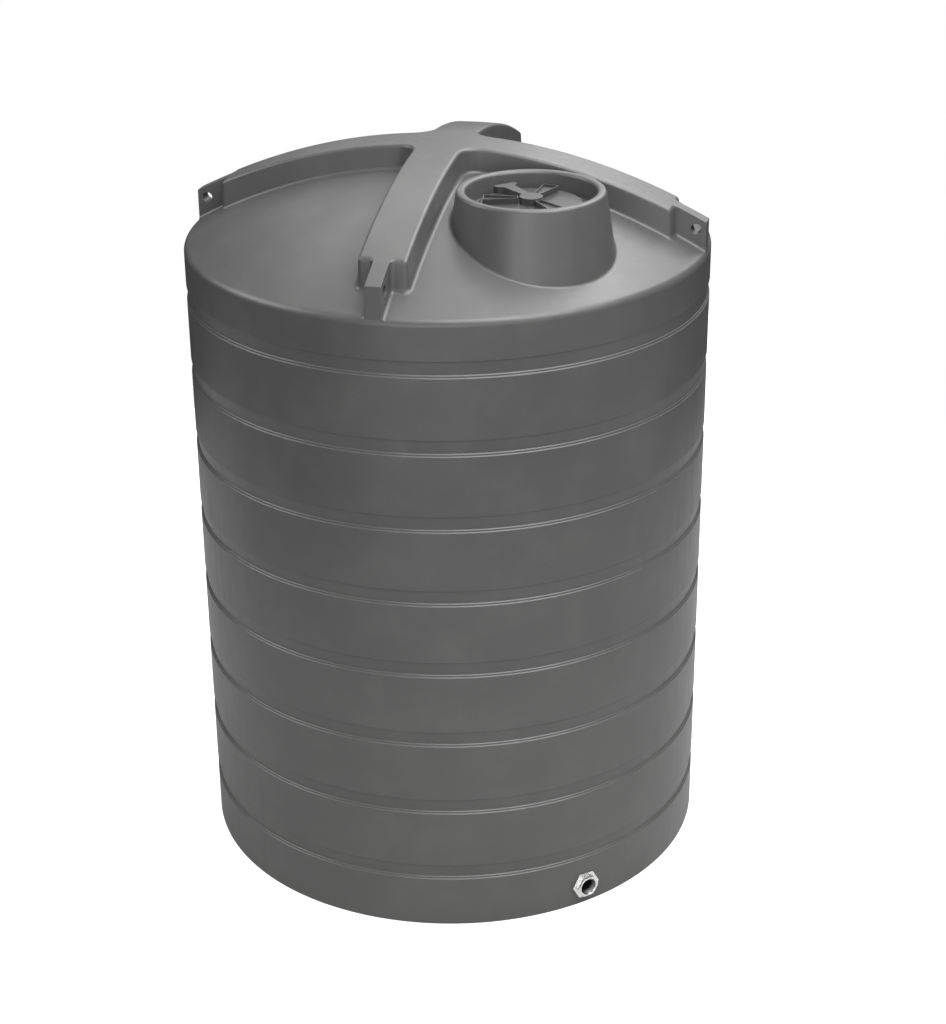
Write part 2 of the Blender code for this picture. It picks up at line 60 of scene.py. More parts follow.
EVEN = (1.0, 1.0, 1.0)

Point = tuple[float, float]
Colour = tuple[float, float, float]

# Distance out from an edge, share of the height from roof to top, and a height added to it.
Step = tuple[float, float, float]

# The same with a place in plan instead of the distance.
Place = tuple[Vector, float, float]


class Body(Enum):
    """Bodies of the frame that pieces ride on."""

    TANK = "tank"
    LID = "lid"


class Slot(Enum):
    """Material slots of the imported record."""

    SHELL = "shell"
    LID = "lid"
    SEAL = "seal"
    FITTING = "fitting"


@dataclass(frozen=True)
class Corner:
    """Corner of a drawn section or plan, with the radius that rounds it off."""

    x: float
    y: float
    radius: float = 0.0


def arc_between(before: Vector, corner: Vector, after: Vector, radius: float, steps: int) -> list[Vector]:
    """Round one corner off with a tangent arc.

    Args:
        before: Point that the outline comes from.
        corner: Corner that is rounded.
        after: Point that the outline goes to.
        radius: Radius of the arc.
        steps: Number of chords in the arc.

    Returns:
        Points of the arc, or the corner alone where it is straight or sharp.
    """
    back = (before - corner).normalized()
    ahead = (after - corner).normalized()
    angle = back.angle(ahead, math.pi)
    if radius <= 0.0 or angle > math.radians(178.0):
        return [corner]
    reach = radius / math.tan(angle / 2.0)
    limit = 0.499 * min((before - corner).length, (after - corner).length)
    if reach > limit:
        radius *= limit / reach
    centre = corner + (back + ahead).normalized() * (radius / math.sin(angle / 2.0))
    first = corner + back * (radius / math.tan(angle / 2.0)) - centre
    turn = math.copysign(math.pi - angle, back.x * ahead.y - back.y * ahead.x) * -1.0
    return [centre + Matrix.Rotation(turn * i / steps, 2) @ first for i in range(steps + 1)]


def rounded(corners: Sequence[Corner], steps: int = 4, closed: bool = False) -> list[Point]:
    """Outline through corners, each rounded off by its own radius.

    Args:
        corners: Corners in order along the outline.
        steps: Number of chords in each arc.
        closed: True if the last corner joins the first.

    Returns:
        Points of the outline.
    """
    points = [Vector((corner.x, corner.y)) for corner in corners]
    outline: list[Vector] = []
    last = len(points) - 1
    for index, corner in enumerate(corners):
        if not closed and index in (0, last):
            outline.append(points[index])
            continue
        before = points[index - 1]
        after = points[(index + 1) % len(points)]
        outline += arc_between(before, points[index], after, corner.radius, steps)
    return [(point.x, point.y) for point in outline]


def middle(node: str, axis: str) -> float:
    """Middle of a frame node's box along one axis."""
    low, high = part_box(node)
    return (getattr(low, axis) + getattr(high, axis)) / 2.0


def nodes_named(*starts: str) -> list[str]:
    """Names of the frame's nodes that start with one of these, in order."""
    return sorted(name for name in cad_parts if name.startswith(starts))


def pick(item: Object) -> None:
    """Make an object the active one, with nothing else selected.

    Args:
        item: Object to pick.
    """
    bpy.ops.object.select_all(action="DESELECT")
    item.select_set(True)
    bpy.context.view_layer.objects.active = item


@contextmanager
def editing(item: Object) -> Iterator[None]:
    """Put one object in edit mode for a while, with nothing else selected.

    Args:
        item: Object to edit.
    """
    pick(item)
    bpy.ops.object.mode_set(mode="EDIT")
    yield
    bpy.ops.object.mode_set(mode="OBJECT")


def select_in_edit(item: Object, kind: str, wanted: Callable) -> None:
    """Select the vertices, edges or faces of the edited object that pass a test, and nothing else.

    Args:
        item: Object in edit mode.
        kind: One of "verts", "edges" and "faces".
        wanted: Test of one element.
    """
    modes = {"verts": "VERT", "edges": "EDGE", "faces": "FACE"}
    bpy.ops.mesh.select_mode(type=modes[kind])
    bpy.ops.mesh.select_all(action="DESELECT")
    form = bmesh.from_edit_mesh(item.data)
    for element in [element for element in getattr(form, kind) if wanted(element)]:
        element.select_set(True)
    form.select_flush_mode()
    bmesh.update_edit_mesh(item.data)


def draw_chain(name: str, points: Sequence[Vector]) -> Object:
    """Draw a chain of edges by extruding one vertex from point to point.

    Args:
        name: Name of the new object.
        points: Points of the chain; it ends where it starts if it is a loop.

    Returns:
        The new object, with its origin at the world's.
    """
    bpy.ops.object.select_all(action="DESELECT")
    bpy.ops.mesh.primitive_plane_add(size=0.01, location=points[0])
    item = bpy.context.object
    item.name = name
    bpy.ops.object.transform_apply(location=True, rotation=False, scale=False)
    with editing(item):
        bpy.ops.mesh.select_mode(type="VERT")
        bpy.ops.mesh.select_all(action="SELECT")
        bpy.ops.mesh.merge(type="CENTER")
        for here, there in zip(points, points[1:]):
            bpy.ops.mesh.extrude_region_move(TRANSFORM_OT_translate={"value": there - here})
    return item


def clean() -> None:
    """Merge doubles of the edited mesh and turn its faces outwards."""
    bpy.ops.mesh.select_all(action="SELECT")
    bpy.ops.mesh.remove_doubles(threshold=MERGE_DISTANCE)
    bpy.ops.mesh.normals_make_consistent(inside=False)


def raise_selected(rise: float) -> None:
    """Extrude what is selected in the edited mesh straight up."""
    bpy.ops.mesh.extrude_region_move(TRANSFORM_OT_translate={"value": (0.0, 0.0, rise)})


def turned(name: str, section: Sequence[Point], steps: int, centre: Point = (0.0, 0.0)) -> Object:
    """Turn a closed section round an upright axis.

    Args:
        name: Name of the new object.
        section: Points (distance from the axis, height) of the section, round its outline.
        steps: Number of facets round the axis.
        centre: Place of the axis in plan.

    Returns:
        The turned solid.
    """
    loop = [Vector((centre[0] + x, centre[1], z)) for x, z in section]
    if section[0][0] > MERGE_DISTANCE:
        loop.append(loop[0])
    item = draw_chain(name, loop)
    with editing(item):
        bpy.ops.mesh.select_all(action="SELECT")
        bpy.ops.mesh.spin(steps=steps, angle=math.tau, center=(*centre, 0.0), axis=(0.0, 0.0, 1.0))
        clean()
    return item


def extruded(name: str, plan: Sequence[Point], low: float, high: float) -> Object:
    """Raise a flat outline to an upright prism.

    Args:
        name: Name of the new object.
        plan: Points of the closed outline.
        low: Height of the foot.
        high: Height of the top.

    Returns:
        The prism.
    """
    loop = [Vector((x, y, low)) for x, y in plan]
    item = draw_chain(name, loop + loop[:1])
    with editing(item):
        bpy.ops.mesh.select_all(action="SELECT")
        bpy.ops.mesh.remove_doubles(threshold=MERGE_DISTANCE)
        bpy.ops.mesh.edge_face_add()
        raise_selected(high - low)
        clean()
    return item


def cylinder(radius: float, depth: float, centre: Sequence[float],
             turn: Sequence[float] = (0.0, 0.0, 0.0), facets: int = 64) -> Object:
    """Make a cylinder to cut a piece with or to join to it.

    Args:
        radius: Radius of the cylinder.
        depth: Length of the cylinder.
        centre: Place of its middle.
        turn: Turn about X, Y and Z of its upright axis.
        facets: Number of sides.

    Returns:
        The cylinder.
    """
    bpy.ops.object.select_all(action="DESELECT")
    bpy.ops.mesh.primitive_cylinder_add(
        vertices=facets, radius=radius, depth=depth, location=centre, rotation=turn)
    return bpy.context.object


def apply_modifier(item: Object, kind: str, **values: object) -> None:
    """Add a modifier to an object, set it up and apply it.

    Args:
        item: Object to change.
        kind: Blender's name for the type of modifier.
        values: Settings of the modifier.
    """
    pick(item)
    modifier = item.modifiers.new(kind.title(), kind)
    for key, value in values.items():
        setattr(modifier, key, value)
    bpy.ops.object.modifier_apply(modifier=modifier.name)


def carve(item: Object, tool: Object, operation: str = "DIFFERENCE") -> None:
    """Cut or join an object with another, which is used up."""
    apply_modifier(item, "BOOLEAN", operation=operation, solver="EXACT", object=tool)
    bpy.data.objects.remove(tool, do_unlink=True)


def shade(item: Object, sharp_above: float) -> None:
    """Shade an object smooth up to an angle, with normals that follow its large faces.

    Args:
        item: Object to shade.
        sharp_above: Angle in degrees above which an edge stays sharp.
    """
    pick(item)
    bpy.ops.object.shade_smooth_by_angle(angle=math.radians(sharp_above))
    apply_modifier(item, "WEIGHTED_NORMAL", keep_sharp=True)


def place(item: Object, matrix: Matrix) -> None:
    """Turn and shift an object's mesh, and leave its origin where it is."""
    item.data.transform(matrix)
    item.data.update()


class Graph:
    """Node tree that is put together node by node."""

    def __init__(self, tree: NodeTree) -> None:
        """Keep the tree that is filled."""
        self.tree = tree

    def feed(self, node: Node, links: dict[str | int, object]) -> None:
        """Connect the inputs of a node.

        Args:
            node: Node to connect.
            links: Inputs by name or index, each with a socket to link or a value to set.
        """
        for key, value in links.items():
            if isinstance(value, NodeSocket):
                self.tree.links.new(value, node.inputs[key])
            else:
                node.inputs[key].default_value = value

    def node(self, kind: str, links: dict[str | int, object] | None = None, **values: object) -> Node:
        """Add a node, set it up and connect its inputs.

        Args:
            kind: Name of the node's type, without its ShaderNode prefix.
            links: Inputs, as in feed.
            values: Settings of the node.

        Returns:
            The new node.
        """
        node = self.tree.nodes.new(f"ShaderNode{kind}")
        for key, value in values.items():
            setattr(node, key, value)
        self.feed(node, links or {})
        return node

    def maths(self, operation: str, *values: object) -> NodeSocket:
        """Combine values or sockets by one of Blender's maths operations."""
        return self.node("Math", dict(enumerate(values)), operation=operation).outputs[0]

    def tint(self, colour: object, amount: NodeSocket, other: object) -> NodeSocket:
        """Mix a share of another colour into a colour."""
        return self.node("Mix", {0: amount, 6: colour, 7: other}, data_type="RGBA").outputs[2]


def spaced(values: dict[str, object]) -> dict[str, object]:
    """Values by the names of their sockets, with spaces in place of underscores."""
    return {key.replace("_", " "): value for key, value in values.items()}


class Shader(Graph):
    """Principled material that is put together from shared effects and its own nodes."""

    def __init__(self, name: str) -> None:
        """Start a material.

        Args:
            name: Name of the material.
        """
        self.material = bpy.data.materials.new(name)
        self.material.use_nodes = True
        super().__init__(self.material.node_tree)

    def set(self, **links: object) -> None:
        """Feed the shader's own inputs, each named with underscores for spaces."""
        self.feed(self.tree.nodes["Principled BSDF"], spaced(links))

    def effect(self, tree: NodeTree, **values: object) -> Node:
        """Place a shared effect, laid out on the object's own coordinates.

        Args:
            tree: Node group of the effect.
            values: Values of its inputs, each named with underscores for spaces.

        Returns:
            The group node.
        """
        links = {"Coordinates": self.node("TexCoord").outputs["Object"], **spaced(values)}
        return self.node("Group", links, node_tree=tree)

    def relief(self, height: NodeSocket, distance: float) -> NodeSocket:
        """Normal that follows a height, whose full step is a distance in metres."""
        return self.node("Bump", {"Height": height, "Distance": distance, "Strength": 1.0}).outputs["Normal"]


class EffectGroup(Graph):
    """Node group for an effect that more than one material uses."""

    def __init__(self, name: str, colours: Sequence[str], numbers: dict[str, float]) -> None:
        """Start a group with an input for the coordinates and its own inputs.

        Args:
            name: Name of the group.
            colours: Names of the inputs for colours.
            numbers: Starting value of each input for a number.
        """
        super().__init__(bpy.data.node_groups.new(name, "ShaderNodeTree"))
        self.socket("Coordinates", "INPUT", "Vector")
        for key in colours:
            self.socket(key, "INPUT", "Color")
        for key, value in numbers.items():
            self.socket(key, "INPUT", "Float").default_value = value
        self.start = self.tree.nodes.new("NodeGroupInput").outputs

    def socket(self, name: str, side: str, kind: str) -> bpy.types.NodeTreeInterfaceSocket:
        """Give the group an input or an output."""
        return self.tree.interface.new_socket(name, in_out=side, socket_type=f"NodeSocket{kind}")

    def close(self, **results: NodeSocket) -> NodeTree:
        """Give the group its outputs.

        Args:
            results: Outputs by name, where Colour is a colour and the others are numbers.

        Returns:
            The finished group.
        """
        for key in results:
            self.socket(key, "OUTPUT", "Color" if key == "Colour" else "Float")
        self.feed(self.tree.nodes.new("NodeGroupOutput"), results)
        return self.tree

    def noise(self, scale: object, detail: float, roughness: float,
              stretch: Sequence[float] = EVEN) -> NodeSocket:
        """Noise over the object's own coordinates.

        Args:
            scale: Scale of the noise, a value or a socket.
            detail: Number of octaves.
            roughness: Weight of the finer octaves.
            stretch: Scale along each axis, for marks that run one way.

        Returns:
            Socket that gives the noise, from 0 to 1.
        """
        mapping = self.node("Mapping", {"Vector": self.start["Coordinates"], "Scale": stretch})
        return self.node("TexNoise", {
            "Vector": mapping.outputs["Vector"], "Scale": scale, "Detail": detail, "Roughness": roughness,
        }).outputs["Fac"]

    def ramp(self, value: NodeSocket, low: float, high: float, to_low: object = 0.0, to_high: object = 1.0
             ) -> NodeSocket:
        """Map one range of a value to another, clamped."""
        return self.node("MapRange", {
            "Value": value, "From Min": low, "From Max": high, "To Min": to_low, "To Max": to_high,
        }).outputs["Result"]


def moulded_skin() -> NodeTree:
    """Skin of a part moulded against a blasted tool: cloudy tone, uneven gloss and a fine pebble.

    Returns:
        Group with the colour, the roughness and the height of the skin.
    """
    group = EffectGroup("moulded_skin", ("Colour", "Pale Colour"), {
        "Cloud Scale": 3.0, "Pebble Scale": 300.0, "Gloss": 0.3, "Dull": 0.4})
    start = group.start
    cloud = group.noise(start["Cloud Scale"], 4.0, 0.55)
    pebble = group.noise(start["Pebble Scale"], 2.0, 0.5)
    drag = group.noise(start["Cloud Scale"], 3.0, 0.6, (9.0, 9.0, 1.2))
    return group.close(
        Colour=group.tint(start["Colour"], group.ramp(cloud, 0.35, 0.7), start["Pale Colour"]),
        Roughness=group.ramp(drag, 0.3, 0.75, start["Gloss"], start["Dull"]),
        Height=group.maths("MULTIPLY_ADD", pebble, 0.6, group.maths("MULTIPLY", cloud, 0.4)))


def dust_scuffs_and_floor_light() -> NodeTree:
    """Fine dust in patches, painted floor light that makes the skin paler towards the ground, and short
    rubbed scuffs, as shares from 0 to 1.

    Returns:
        Group with the dust share, which carries the painted floor light too, and the scuff share.
    """
    group = EffectGroup("dust_scuffs_and_floor_light", (), {
        "Dust Scale": 5.0, "Scuff Scale": 14.0, "Floor Light Height": 2.2, "Floor Light Share": 1.2})
    start = group.start
    patches = group.noise(start["Dust Scale"], 6.0, 0.62)
    specks = group.noise(160.0, 1.0, 0.5)
    loose = group.maths("MULTIPLY", group.ramp(patches, 0.48, 0.75), group.ramp(specks, 0.3, 0.7, 0.4))
    height = group.node("SeparateXYZ", {"Vector": start["Coordinates"]}).outputs["Z"]
    above = group.maths("DIVIDE", height, start["Floor Light Height"])
    # Painted floor light: a share that grows towards the ground, so the skin is tinted paler low down,
    # standing in for light bounced up off the floor.
    painted_floor_light = group.maths("MULTIPLY", group.ramp(above, 0.0, 1.0, 1.0, 0.0), start["Floor Light Share"])
    streaks = group.noise(start["Scuff Scale"], 2.0, 0.5, (1.0, 1.0, 7.0))
    where = group.noise(2.2, 2.0, 0.5)
    return group.close(
        Dust=group.maths("ADD", loose, painted_floor_light),
        Scuff=group.maths("MULTIPLY", group.ramp(streaks, 0.62, 0.72), group.ramp(where, 0.52, 0.66)))


def turned_lines() -> NodeTree:
    """Fine rings that a lathe leaves round an axis along Y, with a cloudy polish, and a rougher bore whose
    colour is darkened as painted shade.

    Returns:
        Group with the colour, the roughness and the height of the rings.
    """
    group = EffectGroup("turned_lines", ("Colour", "Bore Colour"), {
        "Axis Height": 0.0, "Ring Scale": 900.0, "Polish": 0.12, "Worn": 0.3, "Bore": 0.040,
        "Bore Roughness": 0.5})
    start = group.start
    parts = group.node("SeparateXYZ", {"Vector": start["Coordinates"]}).outputs
    up = group.maths("SUBTRACT", parts["Z"], start["Axis Height"])
    square = group.maths("MULTIPLY_ADD", up, up, group.maths("MULTIPLY", parts["X"], parts["X"]))
    reach = group.maths("SQRT", square)
    rings = group.maths("SINE", group.maths("MULTIPLY", reach, start["Ring Scale"]))
    cloud = group.noise(60.0, 4.0, 0.6)
    polish = group.ramp(cloud, 0.3, 0.75, start["Polish"], start["Worn"])
    # Painted shade: inside the bore the steel's colour turns dark, standing in for the shade deep in the
    # socket; its roughness rises there too.
    inside = group.maths("LESS_THAN", reach, start["Bore"])
    return group.close(
        Colour=group.tint(start["Colour"], inside, start["Bore Colour"]),
        Roughness=group.ramp(inside, 0.0, 1.0, polish, start["Bore Roughness"]),
        Height=group.maths("MULTIPLY", rings, cloud))


@dataclass(frozen=True)
class PlasticFinish:
    """Satin moulded plastic in one grey."""

    name: str
    colour: Colour
    pale: Colour
    gloss: float
    dull: float
    pebble_scale: float
    pebble_height: float
    dust_and_floor_light_colour: Colour = (0.30, 0.29, 0.27)
    dust_and_floor_light_share: float = 0.06
    scuff_roughness: float = 0.08

    def make(self, skin: NodeTree, marks_and_floor_light: NodeTree) -> Material:
        """Build the material.

        Args:
            skin: Group for the moulded skin.
            marks_and_floor_light: Group for dust, scuffs and the painted floor light.

        Returns:
            The material.
        """
        shader = Shader(self.name)
        base = shader.effect(skin, Colour=(*self.colour, 1.0), Pale_Colour=(*self.pale, 1.0),
                             Pebble_Scale=self.pebble_scale, Gloss=self.gloss, Dull=self.dull).outputs
        wear_and_floor_light = shader.effect(marks_and_floor_light).outputs
        # The dust share holds real dust patches and painted floor light, so this tint also paints the foot of
        # the wall paler.
        dust_and_floor_light = shader.maths("MULTIPLY", wear_and_floor_light["Dust"], self.dust_and_floor_light_share)
        shader.set(
            Base_Color=shader.tint(base["Colour"], dust_and_floor_light, (*self.dust_and_floor_light_colour, 1.0)),
            Roughness=shader.maths("MULTIPLY_ADD", wear_and_floor_light["Scuff"], self.scuff_roughness, base["Roughness"]),
            Normal=shader.relief(base["Height"], self.pebble_height))
        return shader.material


@dataclass(frozen=True)
class SteelFinish:
    """Bright turned stainless steel."""

    name: str
    colour: Colour
    axis_height: float
    polish: float
    worn: float
    # Painted shade: dark colour inside the bore, for the shade deep in the socket.
    bore_shade_colour: Colour = (0.16, 0.16, 0.16)
    line_height: float = 0.000004

    def make(self, lines: NodeTree) -> Material:
        """Build the material.

        Args:
            lines: Group for the lathe's rings.

        Returns:
            The material.
        """
        shader = Shader(self.name)
        rings = shader.effect(lines, Axis_Height=self.axis_height, Polish=self.polish, Worn=self.worn,
                              Colour=(*self.colour, 1.0), Bore_Colour=(*self.bore_shade_colour, 1.0)).outputs
        shader.set(Metallic=1.0, Base_Color=rings["Colour"], Roughness=rings["Roughness"],
                   Normal=shader.relief(rings["Height"], self.line_height))
        return shader.material


@dataclass(frozen=True)
class RubberFinish:
    """Black moulded rubber."""

    name: str
    colour: Colour
    pale: Colour
    cloud_scale: float = 20.0
    grain_scale: float = 900.0
    grain_height: float = 0.0002
    gloss: float = 0.55
    dull: float = 0.75

    def make(self, skin: NodeTree) -> Material:
        """Build the material.

        Args:
            skin: Group for the moulded skin.

        Returns:
            The material.
        """
        shader = Shader(self.name)
        base = shader.effect(skin, Colour=(*self.colour, 1.0), Pale_Colour=(*self.pale, 1.0),
                             Cloud_Scale=self.cloud_scale, Pebble_Scale=self.grain_scale,
                             Gloss=self.gloss, Dull=self.dull).outputs
        shader.set(Base_Color=base["Colour"], Roughness=base["Roughness"],
                   Normal=shader.relief(base["Height"], self.grain_height))
        return shader.material


class Finishes:
    """All materials of the tank, built once."""

    def __init__(self) -> None:
        """Build the shared groups and the materials."""
        skin, marks_and_floor_light = moulded_skin(), dust_scuffs_and_floor_light()
        self.shell = PlasticFinish(
            "grey_shell_plastic", colour=(0.055, 0.055, 0.055), pale=(0.062, 0.062, 0.062),
            gloss=0.36, dull=0.44, pebble_scale=260.0, pebble_height=0.0003).make(skin, marks_and_floor_light)
        # Painted shade: the lid is a darker copy of the shell's grey plastic, darkened for the shade of the
        # well that it sits in.
        self.lid = PlasticFinish(
            "grey_lid_plastic", colour=(0.038, 0.038, 0.038), pale=(0.043, 0.043, 0.043),
            gloss=0.27, dull=0.33, pebble_scale=420.0, pebble_height=0.00003).make(skin, marks_and_floor_light)
        self.steel = SteelFinish(
            "turned_stainless_steel", colour=(0.83, 0.83, 0.82), axis_height=middle("outlet_socket", "z"),
            polish=0.20, worn=0.28).make(turned_lines())
        self.rubber = RubberFinish(
            "seal_rubber", colour=(0.012, 0.012, 0.012), pale=(0.02, 0.02, 0.02)).make(skin)


def dress(item: Object, material: Material, body: Body, slot: Slot, *nodes: str,
          sharp_above: float = 35.0) -> None:
    """Shade a piece, give it its material, attach it to its body and hide the frame nodes that it stands for.

    Args:
        item: Finished piece.
        material: Material of the whole piece.
        body: Body that it rides on.
        slot: Slot of the record that its finish comes from; not used.
        nodes: Frame nodes that it replaces.
        sharp_above: Angle in degrees above which an edge stays sharp.
    """
    shade(item, sharp_above)
    item.data.materials.clear()
    item.data.materials.append(material)
    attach(item, body.value)
    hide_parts(*nodes)
    LOG.info("%s: %d faces on %s", item.name, len(item.data.polygons), body.value)


@dataclass
class Dome:
    """Form of the domed roof and of the round rim that joins it to the wall."""

    radius: float
    top: float = 3.3006
    fall: float = 0.2333
    rim_start: float = 1.179

    @property
    def rim_tilt(self) -> float:
        """Steepness of the dome where the rim starts, as an angle."""
        return math.atan(2.0 * self.fall * self.rim_start)

    @property
    def rim_radius(self) -> float:
        """Radius of the rim's arc, which meets the dome and the upright wall without a kink."""
        return (self.radius - self.rim_start) / (1.0 - math.sin(self.rim_tilt))

    @property
    def rim_centre(self) -> Point:
        """Middle of the rim's arc, as a distance from the axis and a height."""
        start = self.top - self.fall * self.rim_start ** 2
        return self.radius - self.rim_radius, start - self.rim_radius * math.cos(self.rim_tilt)

    def height(self, reach: float) -> float:
        """Height of the outer face at a distance from the middle.

        Args:
            reach: Distance from the tank's axis.

        Returns:
            Height above the ground.
        """
        if reach <= self.rim_start:
            return self.top - self.fall * reach ** 2
        bend, level = self.rim_centre
        across = min(reach - bend, self.rim_radius)
        return level + math.sqrt(self.rim_radius ** 2 - across ** 2)

    def rim_points(self, steps: int) -> list[Point]:
        """Points along the rim's arc from the dome to the upright wall.

        Args:
            steps: Number of chords.

        Returns:
            Points (distance from the axis, height).
        """
        bend, level = self.rim_centre
        points = []
        for index in range(steps + 1):
            angle = self.rim_tilt + (QUARTER - self.rim_tilt) * index / steps
            points.append((bend + self.rim_radius * math.sin(angle),
                           level + self.rim_radius * math.cos(angle)))
        return points


@dataclass
class Shell:
    """Wall with ring grooves, floor pan and domed roof of the moulded shell."""

    radius: float
    dome: Dome
    material: Material
    facets: int = 192
    roof_rings: int = 30
    skin: float = 0.010
    wall_top: float = 2.915
    wall_foot: float = 0.045
    base_round: float = 0.020
    ring_count: int = 8
    first_ledge: float = 0.253
    ring_pitch: float = 0.352
    recess_depth: float = 0.010
    lip_depth: float = 0.004
    lip_drop: float = 0.0015
    recess_height: float = 0.077
    upper_step: float = 0.0115
    lower_step: float = 0.0011
    step_height: float = 0.0042
    edge_round: float = 0.0018
    lip_round: float = 0.0032
    hole_radius: float = 0.0453
    neck_opening: float = 0.300

    def ring_corners(self, ledge: float) -> list[Corner]:
        """Corners of one ring groove, from its sharp upper edge down over its two small steps.

        Args:
            ledge: Height of the groove's lowest step.

        Returns:
            Corners of the wall's outer side.
        """
        deep = self.radius - self.recess_depth
        half = self.radius - self.recess_depth / 2.0
        top = ledge + self.recess_height
        soft = self.edge_round
        return [
            Corner(self.radius, top, self.lip_round),
            Corner(self.radius - self.lip_depth, top - self.lip_drop, soft),
            Corner(deep, ledge + self.upper_step + self.step_height, soft),
            Corner(half, ledge + self.upper_step, soft),
            Corner(half, ledge + self.lower_step + self.step_height, soft),
            Corner(self.radius, ledge + self.lower_step, soft),
        ]

    def build_wall(self) -> None:
        """Model the grooved wall, drilled for the outlet."""
        corners = [Corner(self.radius, self.wall_top)]
        inner = self.radius - self.skin
        lining = [(inner, self.wall_top)]
        for ring in reversed(range(self.ring_count)):
            ledge = self.first_ledge + ring * self.ring_pitch
            corners += self.ring_corners(ledge)
            low, high = ledge + self.lower_step, ledge + self.recess_height
            lining += [(inner, high), (inner - self.recess_depth, high - self.skin),
                       (inner - self.recess_depth, low), (inner, low - self.skin)]
        corners.append(Corner(self.radius, self.wall_foot))
        lining.append((inner, self.wall_foot))
        wall = turned("tank_wall", rounded(corners, steps=3) + lining[::-1], self.facets)
        hole = (0.0, -self.radius, middle("outlet_socket", "z"))
        carve(wall, cylinder(self.hole_radius, 8.0 * self.skin, hole, (QUARTER, 0.0, 0.0)))
        dress(wall, self.material, Body.TANK, Slot.SHELL, *nodes_named("wall_segment", "outlet_panel"))

    def build_floor(self) -> None:
        """Model the floor pan with its round edge."""
        outer = rounded([
            Corner(0.0, 0.0), Corner(self.radius, 0.0, self.base_round),
            Corner(self.radius, self.wall_foot)], steps=8)
        inner = rounded([
            Corner(self.radius - self.skin, self.wall_foot),
            Corner(self.radius - self.skin, self.skin, self.skin), Corner(0.0, self.skin)])
        pan = turned("floor_pan", outer + inner, self.facets)
        dress(pan, self.material, Body.TANK, Slot.SHELL, "tank_floor")

    def build_roof(self, manway_y: float) -> None:
        """Model the dome and its rim, open under the manway's neck.

        Args:
            manway_y: Place of the manway's axis.
        """
        stops = [self.dome.rim_start * i / self.roof_rings for i in range(self.roof_rings)]
        outer = [(reach, self.dome.height(reach)) for reach in stops] + self.dome.rim_points(steps=12)
        outer.append((self.radius, self.wall_top))
        bend, level = self.dome.rim_centre
        inner = [(reach, self.dome.height(reach) - self.skin) for reach in stops[::3]]
        inner += [(bend, level + self.dome.rim_radius - self.skin), (self.radius - self.skin, level),
                  (self.radius - self.skin, self.wall_top)]
        roof = turned("tank_roof", outer + inner[::-1], self.facets)
        centre = (0.0, manway_y, self.dome.top)
        carve(roof, cylinder(self.neck_opening, depth=1.0, centre=centre, facets=96))
        dress(roof, self.material, Body.TANK, Slot.SHELL, *nodes_named("roof_panel"))


